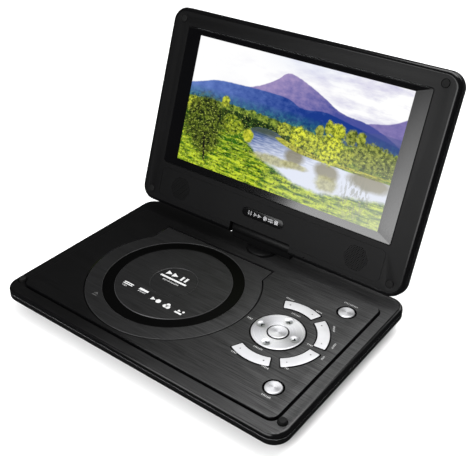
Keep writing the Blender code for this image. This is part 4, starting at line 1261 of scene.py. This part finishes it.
def build_screen():
    """The window, with a dish cut down to the picture so that its frame slopes."""
    outline = between(WINDOW_LOW, WINDOW_HIGH, 1.5)
    top = WINDOW_HIGH.z
    window = plate("window", outline, WINDOW_LOW.z, top, 0.25, place=LID)
    half = (PICTURE_HIGH - PICTURE_LOW) / 2
    picture = round_rect(0, (PICTURE_LOW + PICTURE_HIGH) / 2, PICTURE_HALF_WIDTH, half, 0.6, 3)
    half = (WINDOW_HIGH.y - WINDOW_LOW.y) / 2 - RIM
    margin = round_rect(0, (WINDOW_LOW.y + WINDOW_HIGH.y) / 2, WINDOW_HIGH.x - RIM, half, 0.6, 3)
    levels = ((picture, top - PICTURE_DEPTH), (margin, top), (margin, top + 2))
    rings = [[Vector((x, s, n)) * MM for x, s in edge(0.0)] for edge, n in levels]
    carve(window, skin("dish", rings, LID))
    finish_piece(window, screen_material(), "display", "lid", "display_window", sharp=3)

    def on_rim(at, up):
        place = in_lid(at)
        return abs(place.x) > WINDOW_HIGH.x - RIM or not WINDOW_LOW.y + RIM < place.y < WINDOW_HIGH.y - RIM

    repaint(window, SATIN, on_rim)


def build_badge():
    low, high = span("lid_badge", LID)
    top = high.z - 0.08
    base = plate("badge", between(low, high, 3.6, 12), low.z, top, 0.2, place=LID)
    finish_piece(base, RIM_BLACK, "gloss_black", "lid", "lid_badge")
    s = (low.y + high.y) / 2
    shapes = [bar(x, s, 1.1, 3.4) for x in (-14.0, -11.6)]
    shapes += [poly(x, s, PLAY, 1.7) for x in (-7.0, -3.0)]
    shapes += [dot(2.6, s, 1.9, 28), bar(8.0, s + 0.8, 5.0, 1.0), bar(8.0, s - 0.9, 5.0, 1.0)]
    shapes += [poly(13.6, s, [(-1.7, -1.7), (1.7, -1.7), (1.7, 1.7), (-1.7, 1.7)])]
    ink_shapes("badge_mark", shapes, top, CHROME, "gloss_black", "lid", LID, 0.07)


# Inside the disc bay --------------------


def build_spindle():
    """The snap hub, turned from (radius, height) points that run round its section."""
    low, high = span("disc_spindle")
    top = high.z
    hub = [(0.02, top), (3.2, top), (4.4, top - 0.5), (7.2, top - 1.7), (7.4, top - 2.2), (12.7, top - 2.2)]
    hub += [(13.0, top - 2.5), (13.0, 13.4), (5.0, 13.4), (5.0, low.z), (0.02, low.z)]
    section = [(-radius, z) for radius, z in hub]
    spindle = loft("disc_spindle_fine", about("disc_spindle", 0.0, 96), section, closed=True)
    finish_piece(spindle, DARK, "dark_plastic", "spindle", "disc_spindle")


# Stage --------------------


def grey(value):
    return (value, value, value, 1.0)


def build_world():
    """White to the camera, and a graded grey surround to the surfaces that reflect it."""
    world = bpy.data.worlds.new("studio")
    world.use_nodes = True
    world.node_tree.nodes.clear()
    tree = Tree(world.node_tree)
    incoming = tree.add("ShaderNodeNewGeometry").outputs["Incoming"]
    height = tree.add("ShaderNodeSeparateXYZ", {0: incoming}).outputs["Z"]
    scale = tree.add("ShaderNodeMapRange", {"Value": height, "From Min": -1.0})
    ramp = tree.add("ShaderNodeValToRGB", {0: scale.outputs[0]})
    for stop, shade in zip(ramp.color_ramp.elements, (WORLD_HIGH, WORLD_LOW)):
        stop.color = grey(shade)
    plain = tree.add("ShaderNodeBackground", {"Color": grey(1.0)}).outputs[0]
    reflected = tree.add("ShaderNodeBackground", {"Color": ramp.outputs[0]}).outputs[0]
    tree.add("ShaderNodeOutputWorld", {"Surface": tree.unless_reflected(plain, reflected)})
    bpy.context.scene.world = world


def build_floor():
    low = CAD_BOUNDS[0]
    data = bpy.data.meshes.new("floor")
    corners = ((-1, -1), (1, -1), (1, 1), (-1, 1))
    data.from_pydata([(x * FLOOR_REACH, y * FLOOR_REACH, low.z) for x, y in corners], [], [(0, 1, 2, 3)])
    floor = add_piece("floor", data)
    graph = Graph("floor")
    graph.set(Base_Color=grey(0.93), Roughness=1.0, Specular_IOR_Level=0.0)
    dim = graph.add("ShaderNodeBsdfDiffuse", {"Color": grey(FLOOR_REFLECTED)}).outputs[0]
    surface = graph.unless_reflected(graph.shader.outputs[0], dim)
    graph.feed(graph.tree.nodes["Material Output"].inputs["Surface"], surface)
    data.materials.append(graph.material)


def add_light(name, location, target, width, height, power):
    data = bpy.data.lights.new(name, "AREA")
    data.shape = "RECTANGLE"
    data.size, data.size_y = width, height
    data.energy = power
    lamp = bpy.data.objects.new(name, data)
    bpy.context.scene.collection.objects.link(lamp)
    lamp.location = location
    lamp.rotation_euler = (Vector(target) - Vector(location)).to_track_quat("-Z", "Y").to_euler()


def build_lights():
    add_light("overhead", (0.12, 0.35, 1.1), (0.05, 0.0, 0.0), 0.8, 0.8, 13.0)
    add_light("back_fill", (0.35, 1.3, 0.7), (0.0, 0.1, 0.08), 0.7, 0.5, 3.0)
    add_light("front_panel", (-0.03, -0.62, 0.36), (-0.03, 0.10, 0.16), 0.72, 0.5, 5.2)


def build_camera():
    """A view from the front right, a little above the lid."""
    azimuth, elevation, roll = (math.radians(a) for a in (VIEW_AZIMUTH, VIEW_ELEVATION, VIEW_ROLL))
    level = math.cos(elevation)
    back = Vector((math.sin(azimuth) * level, -math.cos(azimuth) * level, math.sin(elevation)))
    right = Vector((math.cos(azimuth), math.sin(azimuth), 0.0))
    up = back.cross(right)
    side = right * math.cos(roll) + up * math.sin(roll)
    top = up * math.cos(roll) - right * math.sin(roll)
    data = bpy.data.cameras.new("camera")
    data.lens = VIEW_LENS
    data.sensor_width = 36.0
    data.clip_start = 0.01
    camera = bpy.data.objects.new("camera", data)
    bpy.context.scene.collection.objects.link(camera)
    turn = Matrix((side, top, back)).transposed().to_4x4()
    turn.translation = VIEW_TARGET + back * VIEW_DISTANCE
    camera.matrix_world = turn
    bpy.context.scene.camera = camera


def main():
    dress_cad_nodes()
    build_bottom_case()
    build_top_case()
    build_deck_panel()
    build_cover()
    build_feet_and_bumpers()
    build_keys()
    build_deck_marks()
    build_cover_marks()
    build_bezel()
    build_lid_back()
    build_hinge()
    build_screen()
    build_badge()
    build_spindle()
    build_world()
    build_floor()
    build_lights()
    build_camera()
    bpy.context.scene.view_settings.view_transform = "Standard"


main()
